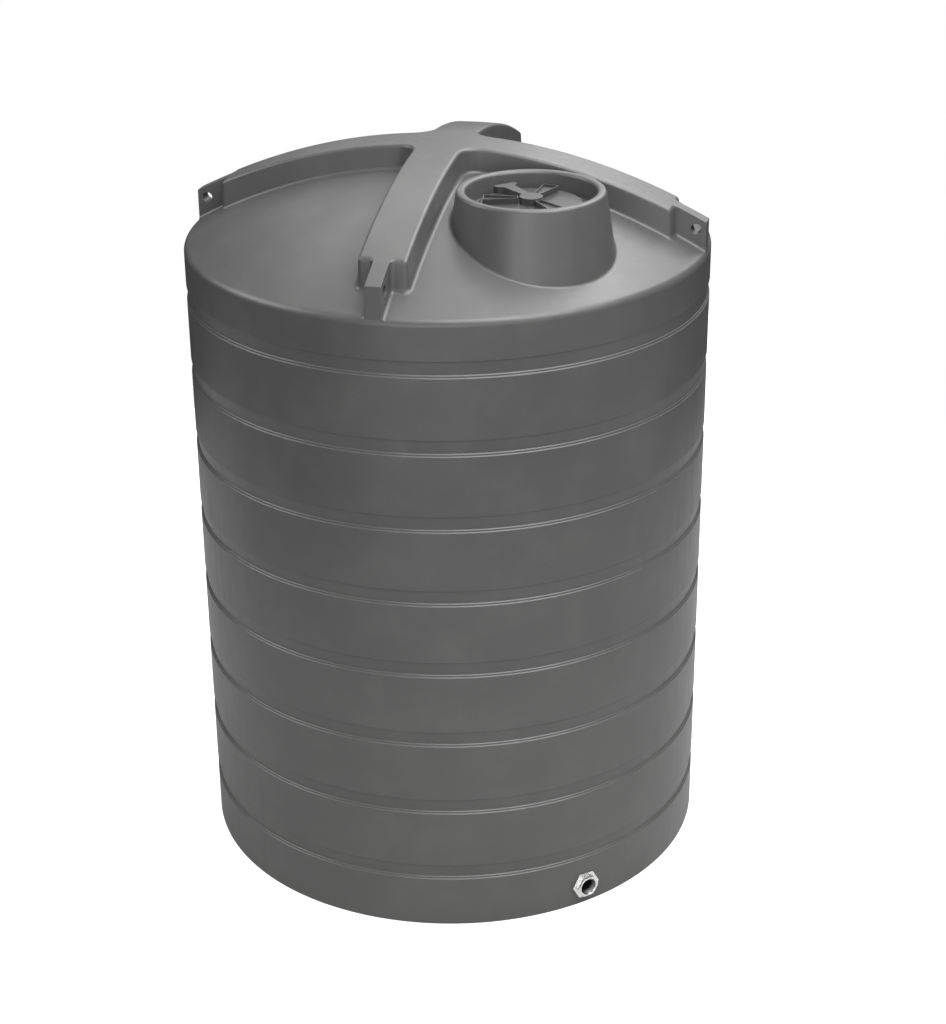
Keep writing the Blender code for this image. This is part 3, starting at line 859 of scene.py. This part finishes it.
@dataclass
class RibCross:
    """Cross of raised ribs on the roof, with a drilled lifting lug at each end."""

    dome: Dome
    material: Material
    top: float = 3.4098
    fall: float = 0.2130
    half_width: float = 0.112
    crown_fillet: float = 0.080
    arm_end: float = 1.052
    shoulder_tight: float = 0.0015
    tip_tight: float = 0.0006
    root_round: float = 0.016
    lug_half_width: float = 0.036
    lug_end: float = 1.193
    arm_inset: float = 0.021
    lug_inset: float = 0.003
    end_inset: float = 0.002
    round_share: float = 0.76
    foot_round: float = 0.016
    end_foot_round: float = 0.0012
    skirt: float = 0.003
    rim_margin: float = 0.0008
    hole_along: float = 1.146
    hole_height: float = 3.075
    hole_radius: float = 0.0234
    hole_edge: float = 0.0016
    hole_facets: int = 48
    hole_tolerance: float = 0.0003
    ring_lift: float = 0.0001
    widest_mitre: float = 0.5

    def rib_height(self, reach: float) -> float:
        """Height of the ribs' top at a distance from the middle."""
        return self.top - self.fall * reach ** 2

    @property
    def root_corner(self) -> Point:
        """Corner of the top face between a lug's side and its shoulder, as distances across and along."""
        return self.lug_half_width - self.lug_inset, self.arm_end - self.arm_inset

    @property
    def root_arc(self) -> float:
        """Radius that rounds the top face's edge between a lug's side and its shoulder."""
        return self.root_round + (self.arm_inset + self.lug_inset) / 2.0

    def plan(self) -> list[Point]:
        """Outline of the ribs' top face, inside its rounded edge, with the arms along X and Y.

        Returns:
            Points of the closed outline.
        """
        width = self.half_width - self.arm_inset
        lug, shoulder = self.root_corner
        tip, tight = self.lug_end - self.end_inset, self.tip_tight
        arm = [
            Corner(width, -width, self.crown_fillet + self.arm_inset),
            Corner(shoulder, -width, self.shoulder_tight),
            Corner(shoulder, -lug, self.root_arc),
            Corner(tip, -lug, tight),
            Corner(tip, lug, tight),
            Corner(shoulder, lug, self.root_arc),
            Corner(shoulder, width, self.shoulder_tight),
        ]
        corners = []
        for quarter in range(4):
            turn = Matrix.Rotation(quarter * QUARTER, 2)
            for corner in arm:
                spot = turn @ Vector((corner.x, corner.y))
                corners.append(Corner(spot.x, spot.y, corner.radius))
        return rounded(corners, steps=8, closed=True)

    def tip_section(self, facing: float) -> list[Step]:
        """Side of a lug at its tip.

        Args:
            facing: Share of the outward direction that points along the arm.

        Returns:
            Steps as in section.
        """
        share = facing ** 2
        return self.section(self.lug_inset + (self.end_inset - self.lug_inset) * share,
                            self.foot_round + (self.end_foot_round - self.foot_round) * share)

    def rings(self, spot: Vector, outward: Vector) -> list[Place]:
        """Places that one point of the outline takes from the skirt on the roof up to the top face.

        Args:
            spot: Point of the outline in plan.
            outward: Mitred direction square to the outline there.

        Returns:
            Steps, each a place in plan, a share of the height from roof to top, and a height added to it.
        """
        lengthwise = abs(spot.x) > abs(spot.y)
        along, across = max(abs(spot.x), abs(spot.y)), min(abs(spot.x), abs(spot.y))
        lug, shoulder = self.root_corner
        steps = self.section(self.arm_inset, self.foot_round)
        slim = self.section(self.lug_inset, self.foot_round)
        past, beside = (along - shoulder) / self.root_arc, (across - lug) / self.root_arc
        if along > shoulder + self.root_arc:
            near_tip = along > self.lug_end - self.end_inset - 0.002
            facing = min(abs(outward.x if lengthwise else outward.y), 1.0)
            steps = self.tip_section(facing) if near_tip else slim
        elif past > -0.001 and beside < 1.001:
            signs = (math.copysign(1.0, spot.x), math.copysign(1.0, spot.y))
            places = []
            for (out, share, rise), (slim_out, _, slim_rise) in zip(steps, slim):
                radius = max(self.root_arc - (out + slim_out) / 2.0, 0.001)
                reach, side = shoulder + out + radius * past, lug + slim_out + radius * beside
                pair = (reach, side) if lengthwise else (side, reach)
                there = Vector((pair[0] * signs[0], pair[1] * signs[1]))
                places.append((there, share, slim_rise + (rise - slim_rise) * beside))
            return places
        return [(spot + outward * out, share, rise) for out, share, rise in steps]

    def section(self, inset: float, foot: float) -> list[Step]:
        """Side of the rib from its skirt on the roof up to its top face.

        Args:
            inset: Distance from the top face's edge to the foot's line.
            foot: Radius of the fillet at the foot.

        Returns:
            Steps, each a distance out from the top face's edge, a share of the height from roof to top,
            and a height added to it.
        """
        edge = inset * self.round_share
        steps = [(inset + foot + self.skirt, 0.0, -SKIRT_SINK)]
        for index in range(5):
            angle = QUARTER * (1.0 - index / 4.0)
            steps.append((inset + foot * (1.0 - math.cos(angle)), 0.0, foot * (1.0 - math.sin(angle))))
        for index in range(7):
            angle = QUARTER * (1.0 - index / 6.0)
            steps.append((edge * math.sin(angle), 1.0, -edge * (1.0 - math.cos(angle))))
        return steps

    def outline_frame(self, item: Object) -> dict[int, tuple[Vector, Vector]]:
        """Read the place and the outward direction of each point on the edited mesh's open edge.

        Args:
            item: Flat mesh in edit mode.

        Returns:
            Point and mitred outward direction by vertex index.
        """
        form = bmesh.from_edit_mesh(item.data)
        found = {}
        for vertex in form.verts:
            edges = [edge for edge in vertex.link_edges if edge.is_boundary]
            if len(edges) != 2:
                continue
            normals = []
            for edge in edges:
                loop = edge.link_loops[0]
                run = (loop.link_loop_next.vert.co - loop.vert.co).to_2d().normalized()
                normal = Vector((run.y, -run.x))
                normals.append(normal if loop.face.normal.z > 0.0 else -normal)
            mean = (normals[0] + normals[1]).normalized()
            found[vertex.index] = (vertex.co.to_2d(), mean / max(mean.dot(normals[0]), self.widest_mitre))
        return found

    def stations(self) -> list[float]:
        """Places where the flat plan is cut across, so that its top can follow the roof's curve."""
        first = self.half_width + self.crown_fillet
        across = [0.0, 0.05]
        for angle in (22.5, 45.0, 67.5):
            across.append(first - (self.crown_fillet + self.arm_inset) * math.cos(math.radians(angle)))
        count = 24
        along = [first + (self.arm_end - 0.06 - first) * i / count for i in range(count + 1)]
        lug = [self.arm_end + 0.012, self.arm_end + 0.045, self.hole_along, self.lug_end - 0.014]
        return across + along + lug

    def build(self) -> None:
        """Model the whole cross as one moulding."""
        plan = [Vector((x, y, 0.0)) for x, y in self.plan()]
        ribs = draw_chain("rib_cross", plan + plan[:1])
        with editing(ribs):
            bpy.ops.mesh.select_all(action="SELECT")
            bpy.ops.mesh.remove_doubles(threshold=MERGE_DISTANCE)
            bpy.ops.mesh.edge_face_add()
            for stop in self.stations():
                for side in ((1.0, 0.0, 0.0), (0.0, 1.0, 0.0)):
                    for sign in ((1.0, -1.0) if stop else (1.0,)):
                        bpy.ops.mesh.select_all(action="SELECT")
                        bpy.ops.mesh.bisect(plane_co=[sign * stop * part for part in side], plane_no=side)
            self.raise_sides(ribs)
            clean()
        self.drill(ribs)
        with editing(ribs):
            bpy.ops.mesh.select_all(action="SELECT")
            bpy.ops.transform.rotate(value=math.pi / 4.0, orient_axis="Z", center_override=(0.0, 0.0, 0.0))
        nodes = nodes_named("rib_", "lifting_lug")
        dress(ribs, self.material, Body.TANK, Slot.SHELL, *nodes, sharp_above=40.0)

    def raise_sides(self, item: Object) -> None:
        """Extrude the flat plan upwards ring by ring, each ring laid to the rib's section.

        Args:
            item: Flat plan in edit mode.
        """
        outline = self.outline_frame(item)
        form = bmesh.from_edit_mesh(item.data)
        tag = form.verts.layers.int.new("outline")
        form.verts.ensure_lookup_table()
        sides = {}
        for index, (spot, outward) in outline.items():
            form.verts[index][tag] = index + 1
            sides[index + 1] = self.rings(spot, outward)
        bmesh.update_edit_mesh(item.data)
        count = len(next(iter(sides.values())))
        for ring in range(count):
            bpy.ops.mesh.select_mode(type="FACE")
            if ring:
                raise_selected(self.ring_lift)
            else:
                bpy.ops.mesh.select_all(action="SELECT")
            form = bmesh.from_edit_mesh(item.data)
            tag = form.verts.layers.int["outline"]
            share, rise = self.section(self.arm_inset, self.foot_round)[ring][1:]
            for vertex in form.verts:
                if not vertex.select:
                    continue
                spot = vertex.co.to_2d()
                if vertex[tag]:
                    spot, share, rise = sides[vertex[tag]][ring]
                reach = min(spot.length, self.dome.radius - self.rim_margin)
                spot = spot * (reach / max(spot.length, MERGE_DISTANCE))
                low, high = self.dome.height(reach), self.rib_height(reach)
                vertex.co = (spot.x, spot.y, low + (high - low) * share + rise)
            bmesh.update_edit_mesh(item.data)

    def drill(self, item: Object) -> None:
        """Drill a cross hole through each lug and break its edges.

        Args:
            item: Rib cross with its arms along X and Y.
        """
        places = []
        for quarter in range(4):
            turn = Matrix.Rotation(quarter * QUARTER, 3, "Z")
            centre = turn @ Vector((self.hole_along, 0.0, self.hole_height))
            places.append((centre, turn @ Vector((0.0, 1.0, 0.0))))
            carve(item, cylinder(self.hole_radius, 4.0 * self.lug_half_width, centre,
                                 (QUARTER, 0.0, quarter * QUARTER), self.hole_facets))

        def on_rim(edge: bmesh.types.BMEdge) -> bool:
            for centre, axis in places:
                offsets = [vertex.co - centre for vertex in edge.verts]
                reaches = [(offset - axis * offset.dot(axis)).length for offset in offsets]
                run = (offsets[1] - offsets[0]).normalized()
                near = all(abs(reach - self.hole_radius) < self.hole_tolerance for reach in reaches)
                if near and abs(run.dot(axis)) < 0.5:
                    return True
            return False

        with editing(item):
            select_in_edit(item, "edges", on_rim)
            bpy.ops.mesh.bevel(offset=self.hole_edge, segments=3, affect="EDGES")


@dataclass
class Neck:
    """Raised neck round the manway, with the well that the lid sits in."""

    dome: Dome
    material: Material
    manway_y: float
    crest: float = 3.351
    facets: int = 160
    well_top_radius: float = 0.281
    well_radius: float = 0.276
    flank_top_radius: float = 0.319
    draft: float = 0.158
    inner_round: float = 0.016
    outer_round: float = 0.015
    seat_depth: float = 0.095
    seat_round: float = 0.007
    bore_radius: float = 0.200
    bore_lip: float = 0.135
    foot_round: float = 0.016
    foot_steps: int = 6
    foot_passes: int = 12
    foot_lift: float = 0.00005
    flank_drop: float = 0.05
    skirt: float = 0.004
    skin: float = 0.010
    marker: float = 2.0
    marker_reach: float = 0.4
    marker_pitch: float = 0.01

    def flank_radius(self, height: float) -> float:
        """Radius of the neck's flank at a height."""
        return self.flank_top_radius + self.draft * (self.crest - height)

    def foot_section(self, bearing: Vector) -> list[Point]:
        """Fillet at the foot of the flank on one bearing, and the edge that closes it under the roof.

        Args:
            bearing: Direction in plan from the manway's axis.

        Returns:
            Points (distance from the manway's axis, height), from the flank outwards and then back inside.
        """
        axis = Vector((0.0, self.manway_y))

        def roof(reach: float) -> float:
            return self.dome.height((axis + bearing * reach).length)

        reach = self.flank_top_radius
        for _ in range(self.foot_passes):
            reach = self.flank_radius(roof(reach))
        meet = Vector((reach, roof(reach)))
        up = Vector((-self.draft, 1.0)).normalized()
        step = 0.01
        out = Vector((step, roof(reach + step) - roof(reach))).normalized()
        arc = arc_between(meet + up, meet, meet + out, self.foot_round, self.foot_steps)
        points = [(spot.x, spot.y) for spot in arc]
        edge = points[-1][0]
        points[-1] = (edge, roof(edge) + self.foot_lift)
        points.append((edge + self.skirt, roof(edge + self.skirt) - SKIRT_SINK))
        inside = reach - 2.0 * self.skin
        points.append((inside, roof(inside) - self.skin / 2.0))
        return points

    def build(self) -> None:
        """Model the neck."""
        crest, lip = self.crest, self.crest - self.bore_lip
        seat, flank_end = crest - self.seat_depth, crest - self.flank_drop
        upper = rounded([
            Corner(self.bore_radius, lip),
            Corner(self.bore_radius, seat, 0.003),
            Corner(self.well_radius, seat, self.seat_round),
            Corner(self.well_top_radius, crest, self.inner_round),
            Corner(self.flank_radius(crest), crest, self.outer_round),
            Corner(self.flank_radius(flank_end), flank_end),
        ], steps=6)
        feet = [(self.marker_reach, self.marker - self.marker_pitch * i) for i in range(self.foot_steps + 3)]
        back = [
            (self.flank_top_radius - self.skin, crest - 3.0 * self.skin),
            (self.well_top_radius + self.skin, crest - 3.0 * self.skin),
            (self.well_radius + self.skin, seat - self.skin),
            (self.bore_radius + self.skin, seat - self.skin),
            (self.bore_radius + self.skin, lip),
        ]
        neck = turned("manway_neck_visual", upper + feet + back, self.facets, (0.0, self.manway_y))
        axis = Vector((0.0, self.manway_y))
        for vertex in neck.data.vertices:
            if vertex.co.z > self.marker + self.marker_pitch:
                continue
            row = round((self.marker - vertex.co.z) / self.marker_pitch)
            bearing = (vertex.co.to_2d() - axis).normalized()
            reach, height = self.foot_section(bearing)[row]
            spot = axis + bearing * reach
            vertex.co = (spot.x, spot.y, height)
        with editing(neck):
            clean()
        dress(neck, self.material, Body.TANK, Slot.SHELL, *nodes_named("manway_"))


@dataclass
class Lid:
    """Screw lid: plate with a threaded skirt, hub, one long T grip and three hollow wedge grips."""

    material: Material
    manway_y: float
    crest: float = 3.351
    plate_depth: float = 0.060
    seat_depth: float = 0.095
    seat_gap: float = 0.0003
    facets: int = 144
    radius: float = 0.2275
    chamfer: float = 0.009
    skin: float = 0.010
    thread_radius: float = 0.195
    thread_depth: float = 0.125
    thread_pitch: float = 0.009
    thread_height: float = 0.003
    hub_radius: float = 0.050
    hub_depth: float = 0.031
    wedge_depth: float = 0.035
    wedge_start: float = 0.056
    wedge_end: float = 0.205
    wedge_narrow: float = 0.015
    wedge_wide: float = 0.037
    wedge_wall: float = 0.004
    pocket_depth: float = 0.010
    grip_side: tuple[Corner, ...] = (
        Corner(0.222, 0.056, 0.006), Corner(0.190, 0.050, 0.010), Corner(0.176, 0.027, 0.016),
        Corner(0.046, 0.018, 0.012))
    main_turn: float = 90.0
    side_turn: float = 57.5
    edge_round: float = 0.0018
    hub_steps: int = 20
    level_tolerance: float = 0.00005
    crease: float = 0.6

    @property
    def plate_top(self) -> float:
        """Height of the lid plate's face."""
        return self.crest - self.plate_depth

    @property
    def grip_foot(self) -> float:
        """Height that the grips start from, just inside the plate."""
        return self.plate_top - 0.001

    def build_plate(self) -> None:
        """Model the plate, its rim and its threaded skirt."""
        top, seat = self.plate_top, self.crest - self.seat_depth + self.seat_gap
        under = top - self.skin
        root = self.thread_radius - self.thread_height
        corners = [
            Corner(0.0, top),
            Corner(self.radius - self.chamfer, top, 0.002),
            Corner(self.radius, top - self.chamfer, 0.002),
            Corner(self.radius, seat, 0.001),
            Corner(self.radius - self.skin, seat, 0.001),
            Corner(self.radius - self.skin, under, 0.003),
            Corner(root, under, 0.003),
        ]
        level = under - self.thread_pitch
        while level - self.thread_pitch > self.crest - self.thread_depth:
            corners += [
                Corner(root, level, 0.0008),
                Corner(self.thread_radius, level - self.thread_height, 0.0008),
                Corner(self.thread_radius, level - 1.6 * self.thread_height, 0.0008),
                Corner(root, level - 2.4 * self.thread_height, 0.0008),
            ]
            level -= self.thread_pitch
        foot = self.crest - self.thread_depth
        corners += [
            Corner(root, foot, 0.001),
            Corner(self.thread_radius - self.skin, foot, 0.001),
            Corner(self.thread_radius - self.skin, under, 0.004),
            Corner(0.0, under),
        ]
        plate = turned("lid_plate_visual", rounded(corners, steps=3), self.facets, (0.0, self.manway_y))
        dress(plate, self.material, Body.LID, Slot.LID, "lid_plate")

    def settle(self, item: Object, degrees: float, *nodes: str) -> None:
        """Turn a grip that was modelled along +X, set it on the manway's axis and dress it.

        Args:
            item: Grip, drawn about the world's axis.
            degrees: Turn about the upright axis.
            nodes: Frame nodes that it replaces.
        """
        turn = Matrix.Rotation(math.radians(degrees), 4, "Z")
        place(item, Matrix.Translation((0.0, self.manway_y, 0.0)) @ turn)
        dress(item, self.material, Body.LID, Slot.LID, *nodes)

    def soften_top(self, item: Object, level: float, width: float) -> None:
        """Round the edges of the faces that lie at a level.

        Args:
            item: Grip to soften.
            level: Height of the edges.
            width: Width of the rounding.
        """
        def on_top(edge: bmesh.types.BMEdge) -> bool:
            flat = all(abs(vertex.co.z - level) < self.level_tolerance for vertex in edge.verts)
            return flat and len(edge.link_faces) == 2 and edge.calc_face_angle(0.0) > self.crease

        with editing(item):
            select_in_edit(item, "edges", on_top)
            bpy.ops.mesh.bevel(offset=width, segments=3, affect="EDGES", clamp_overlap=True)

    def build_main_grip(self) -> None:
        """Model the hub and the long T grip as one raised form."""
        mirrored = [Corner(corner.x, -corner.y, corner.radius) for corner in reversed(self.grip_side)]
        foot = self.grip_side[-1]
        start = math.atan2(foot.y, foot.x)
        hub = []
        for index in range(self.hub_steps + 1):
            angle = start + (math.tau - 2.0 * start) * index / self.hub_steps
            hub.append(Corner(self.hub_radius * math.cos(angle), self.hub_radius * math.sin(angle)))
        corners = mirrored[-1:] + list(self.grip_side) + hub + mirrored[:-1]
        top = self.crest - self.hub_depth
        grip = extruded("lid_handle", rounded(corners, steps=5, closed=True), self.grip_foot, top)
        self.soften_top(grip, top, self.edge_round)
        self.settle(grip, self.main_turn, "lid_hub", "lid_grip_main")

    def build_wedge(self, side: str, degrees: float) -> None:
        """Model one wedge grip, hollowed from above.

        Args:
            side: Where the grip is on the lid.
            degrees: Turn of the grip about the lid's axis.
        """
        narrow, wide = self.wedge_narrow, self.wedge_wide
        plan = rounded([
            Corner(self.wedge_start, -narrow, 0.003), Corner(self.wedge_end, -wide, 0.008),
            Corner(self.wedge_end, wide, 0.008), Corner(self.wedge_start, narrow, 0.003),
        ], steps=5, closed=True)
        top = self.crest - self.wedge_depth
        wedge = extruded(f"lid_wedge_{side}", plan, self.grip_foot, top)
        with editing(wedge):
            select_in_edit(wedge, "faces", lambda face: face.normal.z > 0.9)
            bpy.ops.mesh.inset(thickness=self.wedge_wall, depth=0.0)
            raise_selected(-self.pocket_depth)
        self.soften_top(wedge, top, self.edge_round / 1.5)
        self.settle(wedge, degrees, f"lid_grip_{side}")

    def build(self) -> None:
        """Model the whole lid."""
        self.build_plate()
        self.build_main_grip()
        self.build_wedge("right", self.main_turn - self.side_turn)
        self.build_wedge("left", self.main_turn + self.side_turn)
        self.build_wedge("front", self.main_turn + 180.0)


@dataclass
class Outlet:
    """Stainless outlet: hexagonal flange and head, threaded bore, seal, and the nut inside the tank."""

    height: float
    seat: float
    bore: float = 0.0395
    tube: float = 0.045
    seal_radius: float = 0.058
    seal_thickness: float = 0.003
    flange_flats: float = 0.125
    flange_thickness: float = 0.010
    head_flats: float = 0.096
    head_thickness: float = 0.022
    nut_flats: float = 0.105
    nut_thickness: float = 0.018
    tube_end: float = 1.155
    gap: float = 0.0003
    shoulder_depth: float = 0.026
    shoulder_bore: float = 0.0365
    thread_pitch: float = 0.0023
    thread_height: float = 0.0011
    wall: float = 0.010
    facets: int = 72
    bore_facets: int = 64

    def hexagon(self, name: str, flats: float, start: float, end: float, chamfer: float, soft: float
                ) -> Object:
        """Hexagonal plate whose corners are turned to a cone at both ends.

        Args:
            name: Name of the new object.
            flats: Distance across flats.
            start: Distance of its back from the tank's axis.
            end: Distance of its front.
            chamfer: Depth of the cone at the corners.
            soft: Width of the rounding along all edges.

        Returns:
            The plate, upright.
        """
        corner = flats / math.sqrt(3.0)
        over = 0.001
        turns = [math.radians(60.0 * i) for i in range(6)]
        plan = [Corner(corner * math.cos(turn), corner * math.sin(turn), 0.0015) for turn in turns]
        plate = extruded(name, rounded(plan, steps=3, closed=True), start, end)
        face, reach = corner - 2.0 * chamfer, corner + over
        depth = (reach - face) / 2.0
        cone = turned("hexagon_cone", [
            (0.0, end), (face, end), (reach, end - depth), (reach, start + depth), (face, start),
            (0.0, start)], self.facets)
        carve(plate, cone, "INTERSECT")
        with editing(plate):
            # The exact solver now and then leaves the plate inside out, and piercing would then fill it.
            bpy.ops.mesh.select_all(action="SELECT")
            bpy.ops.mesh.normals_make_consistent(inside=False)
        apply_modifier(plate, "BEVEL", width=soft, segments=3, limit_method="ANGLE",
                       angle_limit=math.radians(20.0))
        return plate

    def bore_tool(self, start: float, end: float) -> Object:
        """Solid of the bore: a thread behind the mouth, then a shoulder and the plain tube.

        Args:
            start: Distance of its inner end from the tank's axis.
            end: Distance of its mouth.

        Returns:
            The solid, upright.
        """
        over = 0.01
        section = [(0.0, end + over), (self.bore + 0.004, end + over), (self.bore + 0.002, end)]
        level = end - 0.002
        floor = end - self.shoulder_depth
        crest = self.bore - self.thread_height
        while level - self.thread_pitch > floor + 0.002:
            section += [(self.bore, level), (crest, level - self.thread_pitch / 2.0)]
            level -= self.thread_pitch
        foot = start - over
        section += [(self.bore, level), (self.bore, floor), (self.shoulder_bore + 0.001, floor),
                    (self.shoulder_bore, floor - 0.001), (self.shoulder_bore, foot), (0.0, foot)]
        return turned("outlet_bore_tool", section, self.bore_facets)

    def pierce(self, item: Object, start: float, end: float) -> None:
        """Open an upright part for the tube, between its back and its front."""
        centre = (0.0, 0.0, (start + end) / 2.0)
        carve(item, cylinder(self.tube + self.gap, 3.0 * (end - start), centre))

    def build(self, finishes: Finishes) -> None:
        """Model the outlet's pieces from the wall outwards, then the nut inside.

        Args:
            finishes: Materials of the tank.
        """
        seal_start = self.seat + self.gap
        flange_start = seal_start + self.seal_thickness + self.gap
        head_start = flange_start + self.flange_thickness + self.gap
        head_end = head_start + self.head_thickness

        seal = turned("outlet_seal_visual", rounded([
            Corner(self.tube + self.gap, seal_start), Corner(self.seal_radius, seal_start, 0.001),
            Corner(self.seal_radius, seal_start + self.seal_thickness, 0.001),
            Corner(self.tube + self.gap, seal_start + self.seal_thickness)], steps=3), self.facets)
        self.finish(seal, finishes.rubber, Slot.SEAL, "outlet_seal")

        flange = self.hexagon("outlet_flange_visual", self.flange_flats, flange_start,
                              flange_start + self.flange_thickness, chamfer=0.0012, soft=0.0032)
        self.pierce(flange, flange_start, flange_start + self.flange_thickness)
        self.finish(flange, finishes.steel, Slot.FITTING, "outlet_flange")

        socket = self.hexagon("outlet_socket_visual", self.head_flats, head_start, head_end,
                              chamfer=0.0025, soft=0.0036)
        tube_start = head_start + self.head_thickness / 2.0
        tube = cylinder(self.tube, tube_start - self.tube_end, (0.0, 0.0, (tube_start + self.tube_end) / 2.0))
        carve(socket, tube, "UNION")
        carve(socket, self.bore_tool(self.tube_end, head_end))
        self.finish(socket, finishes.steel, Slot.FITTING, "outlet_socket")

        nut_end = self.seat - self.wall - self.gap
        nut_start = nut_end - self.nut_thickness
        nut = self.hexagon("outlet_back_nut_visual", self.nut_flats, nut_start, nut_end,
                           chamfer=0.003, soft=0.001)
        self.pierce(nut, nut_start, nut_end)
        self.finish(nut, finishes.steel, Slot.FITTING, "outlet_back_nut")

    def finish(self, item: Object, material: Material, slot: Slot, node: str) -> None:
        """Turn a part so that its top faces the front, on the outlet's axis, and dress it.

        Args:
            item: Part, drawn upright, with heights as distances from the tank's axis.
            material: Its material.
            slot: Its slot in the record.
            node: Frame node that it stands for.
        """
        face_front = Matrix(((1, 0, 0, 0), (0, 0, -1, 0), (0, 1, 0, self.height), (0, 0, 0, 1)))
        place(item, face_front)
        dress(item, material, Body.TANK, slot, node, sharp_above=30.0)


@dataclass(frozen=True)
class Softbox:
    """Rectangular lamp that hangs round the tank and faces its middle, unseen by the camera."""

    name: str
    azimuth: float
    elevation: float
    radiance: float
    size: Point
    distance: float = 9.0
    aim_height: float = 1.8

    def hang(self) -> None:
        """Put the lamp in the scene; its bearing is counted from the front towards the right."""
        data = bpy.data.lights.new(self.name, "AREA")
        data.shape = "RECTANGLE"
        data.size, data.size_y = self.size
        data.energy = self.radiance * math.pi * self.size[0] * self.size[1]
        lamp = bpy.data.objects.new(self.name, data)
        bpy.context.scene.collection.objects.link(lamp)
        turn, rise = math.radians(self.azimuth), math.radians(self.elevation)
        back = Vector((math.sin(turn) * math.cos(rise), -math.cos(turn) * math.cos(rise), math.sin(rise)))
        lamp.location = Vector((0.0, 0.0, self.aim_height)) + back * self.distance
        lamp.rotation_euler = back.to_track_quat("Z", "Y").to_euler()
        lamp.visible_camera = False


@dataclass
class Studio:
    """White sweep, soft studio light and the camera at the photograph's view."""

    camera_place: tuple[float, float, float] = (-4.72058, -8.16924, 5.92756)
    camera_pitch: float = -24.889
    camera_heading: float = 59.539
    camera_roll: float = -0.630
    lens: float = 75.375
    shift: Point = (0.00637, 0.00197)
    floor_size: float = 11.0
    floor_albedo: float = 0.5
    backdrop: float = 1.0
    ambient: float = 0.02
    softboxes: tuple[Softbox, ...] = (
        Softbox("front_high_softbox", -15.0, 60.0, 9.1, (5.2, 4.0)),
        Softbox("front_right_high_softbox", 45.0, 60.0, 5.0, (5.2, 4.0)),
        Softbox("right_high_softbox", 105.0, 60.0, 7.2, (5.2, 4.0)),
        Softbox("back_high_softbox", 165.0, 60.0, 2.6, (5.2, 4.0)),
        Softbox("front_softbox", 15.0, 42.0, 6.8, (4.4, 3.2)),
        Softbox("front_low_softbox", 0.0, 10.0, 1.3, (6.4, 3.8)),
        Softbox("back_right_softbox", 120.0, 35.0, 2.5, (5.6, 4.0)),
        Softbox("back_softbox", 155.0, 31.0, 0.8, (5.6, 4.0)),
        Softbox("back_left_softbox", -120.0, 35.0, 5.4, (5.6, 4.0)),
        Softbox("front_left_low_softbox", -40.0, 10.0, 3.8, (6.4, 3.8)),
        Softbox("overhead_softbox", 0.0, 86.0, 2.4, (5.0, 5.0)),
    )

    def build_camera(self) -> None:
        """Set the camera up."""
        data = bpy.data.cameras.new("view")
        data.lens = self.lens
        data.sensor_width = 36.0
        data.shift_x, data.shift_y = self.shift
        data.clip_end = 1000.0
        camera = bpy.data.objects.new("view", data)
        bpy.context.scene.collection.objects.link(camera)
        turn = Matrix.Rotation(math.radians(self.camera_heading - 90.0), 3, "Z")
        tilt = Matrix.Rotation(math.radians(90.0 + self.camera_pitch), 3, "X")
        roll = Matrix.Rotation(math.radians(self.camera_roll), 3, "Z")
        camera.location = self.camera_place
        camera.rotation_euler = (turn @ tilt @ roll).to_euler()
        bpy.context.scene.camera = camera

    def glow(self, graph: Graph, seen: float, unseen: float) -> NodeSocket:
        """Strength of a glow that differs between the camera and the light that reaches the tank.

        Args:
            graph: Graph that gets the nodes.
            seen: Strength for the camera.
            unseen: Strength for all other rays.

        Returns:
            Socket that gives the strength.
        """
        path = graph.node("LightPath")
        return graph.maths("MULTIPLY_ADD", path.outputs["Is Camera Ray"], seen - unseen, unseen)

    def build_floor(self) -> None:
        """Lay the pale floor."""
        bpy.ops.object.select_all(action="DESELECT")
        bpy.ops.mesh.primitive_plane_add(size=self.floor_size)
        floor = bpy.context.object
        floor.name = "studio_floor"
        shader = Shader("pale_floor")
        albedo = self.floor_albedo
        shader.set(Base_Color=(albedo, albedo, albedo, 1.0), Roughness=1.0, Specular_IOR_Level=0.0,
                   Emission_Color=(1.0, 1.0, 1.0, 1.0),
                   Emission_Strength=self.glow(shader, self.backdrop, 0.0))
        floor.data.materials.append(shader.material)

    def build_backdrop(self) -> None:
        """Put a white backdrop behind the tank, with hardly any light of its own."""
        world = bpy.data.worlds.new("studio")
        bpy.context.scene.world = world
        world.use_nodes = True
        graph = Graph(world.node_tree)
        graph.feed(graph.tree.nodes["Background"], {
            "Color": (1.0, 1.0, 1.0, 1.0), "Strength": self.glow(graph, self.backdrop, self.ambient)})

    def build(self) -> None:
        """Set the whole studio up."""
        self.build_floor()
        self.build_backdrop()
        for softbox in self.softboxes:
            softbox.hang()
        self.build_camera()
        bpy.context.scene.view_settings.view_transform = "Standard"


def main() -> None:
    """Build the studio, the finishes and every sub-assembly in order."""
    logging.basicConfig(level=logging.INFO, format="%(message)s")
    Studio().build()
    finishes = Finishes()
    radius = max(vertex.co.to_2d().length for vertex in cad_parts["wall_segment_02"].data.vertices)
    manway_y = middle("lid_plate", "y")
    dome = Dome(radius)
    shell = Shell(radius, dome, finishes.shell)
    shell.build_wall()
    shell.build_floor()
    shell.build_roof(manway_y)
    RibCross(dome, finishes.shell).build()
    Neck(dome, finishes.shell, manway_y).build()
    Lid(finishes.lid, manway_y).build()
    seal_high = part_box("outlet_seal")[1]
    Outlet(middle("outlet_socket", "z"), -seal_high.y - Outlet.gap).build(finishes)


if __name__ == "__main__":
    main()
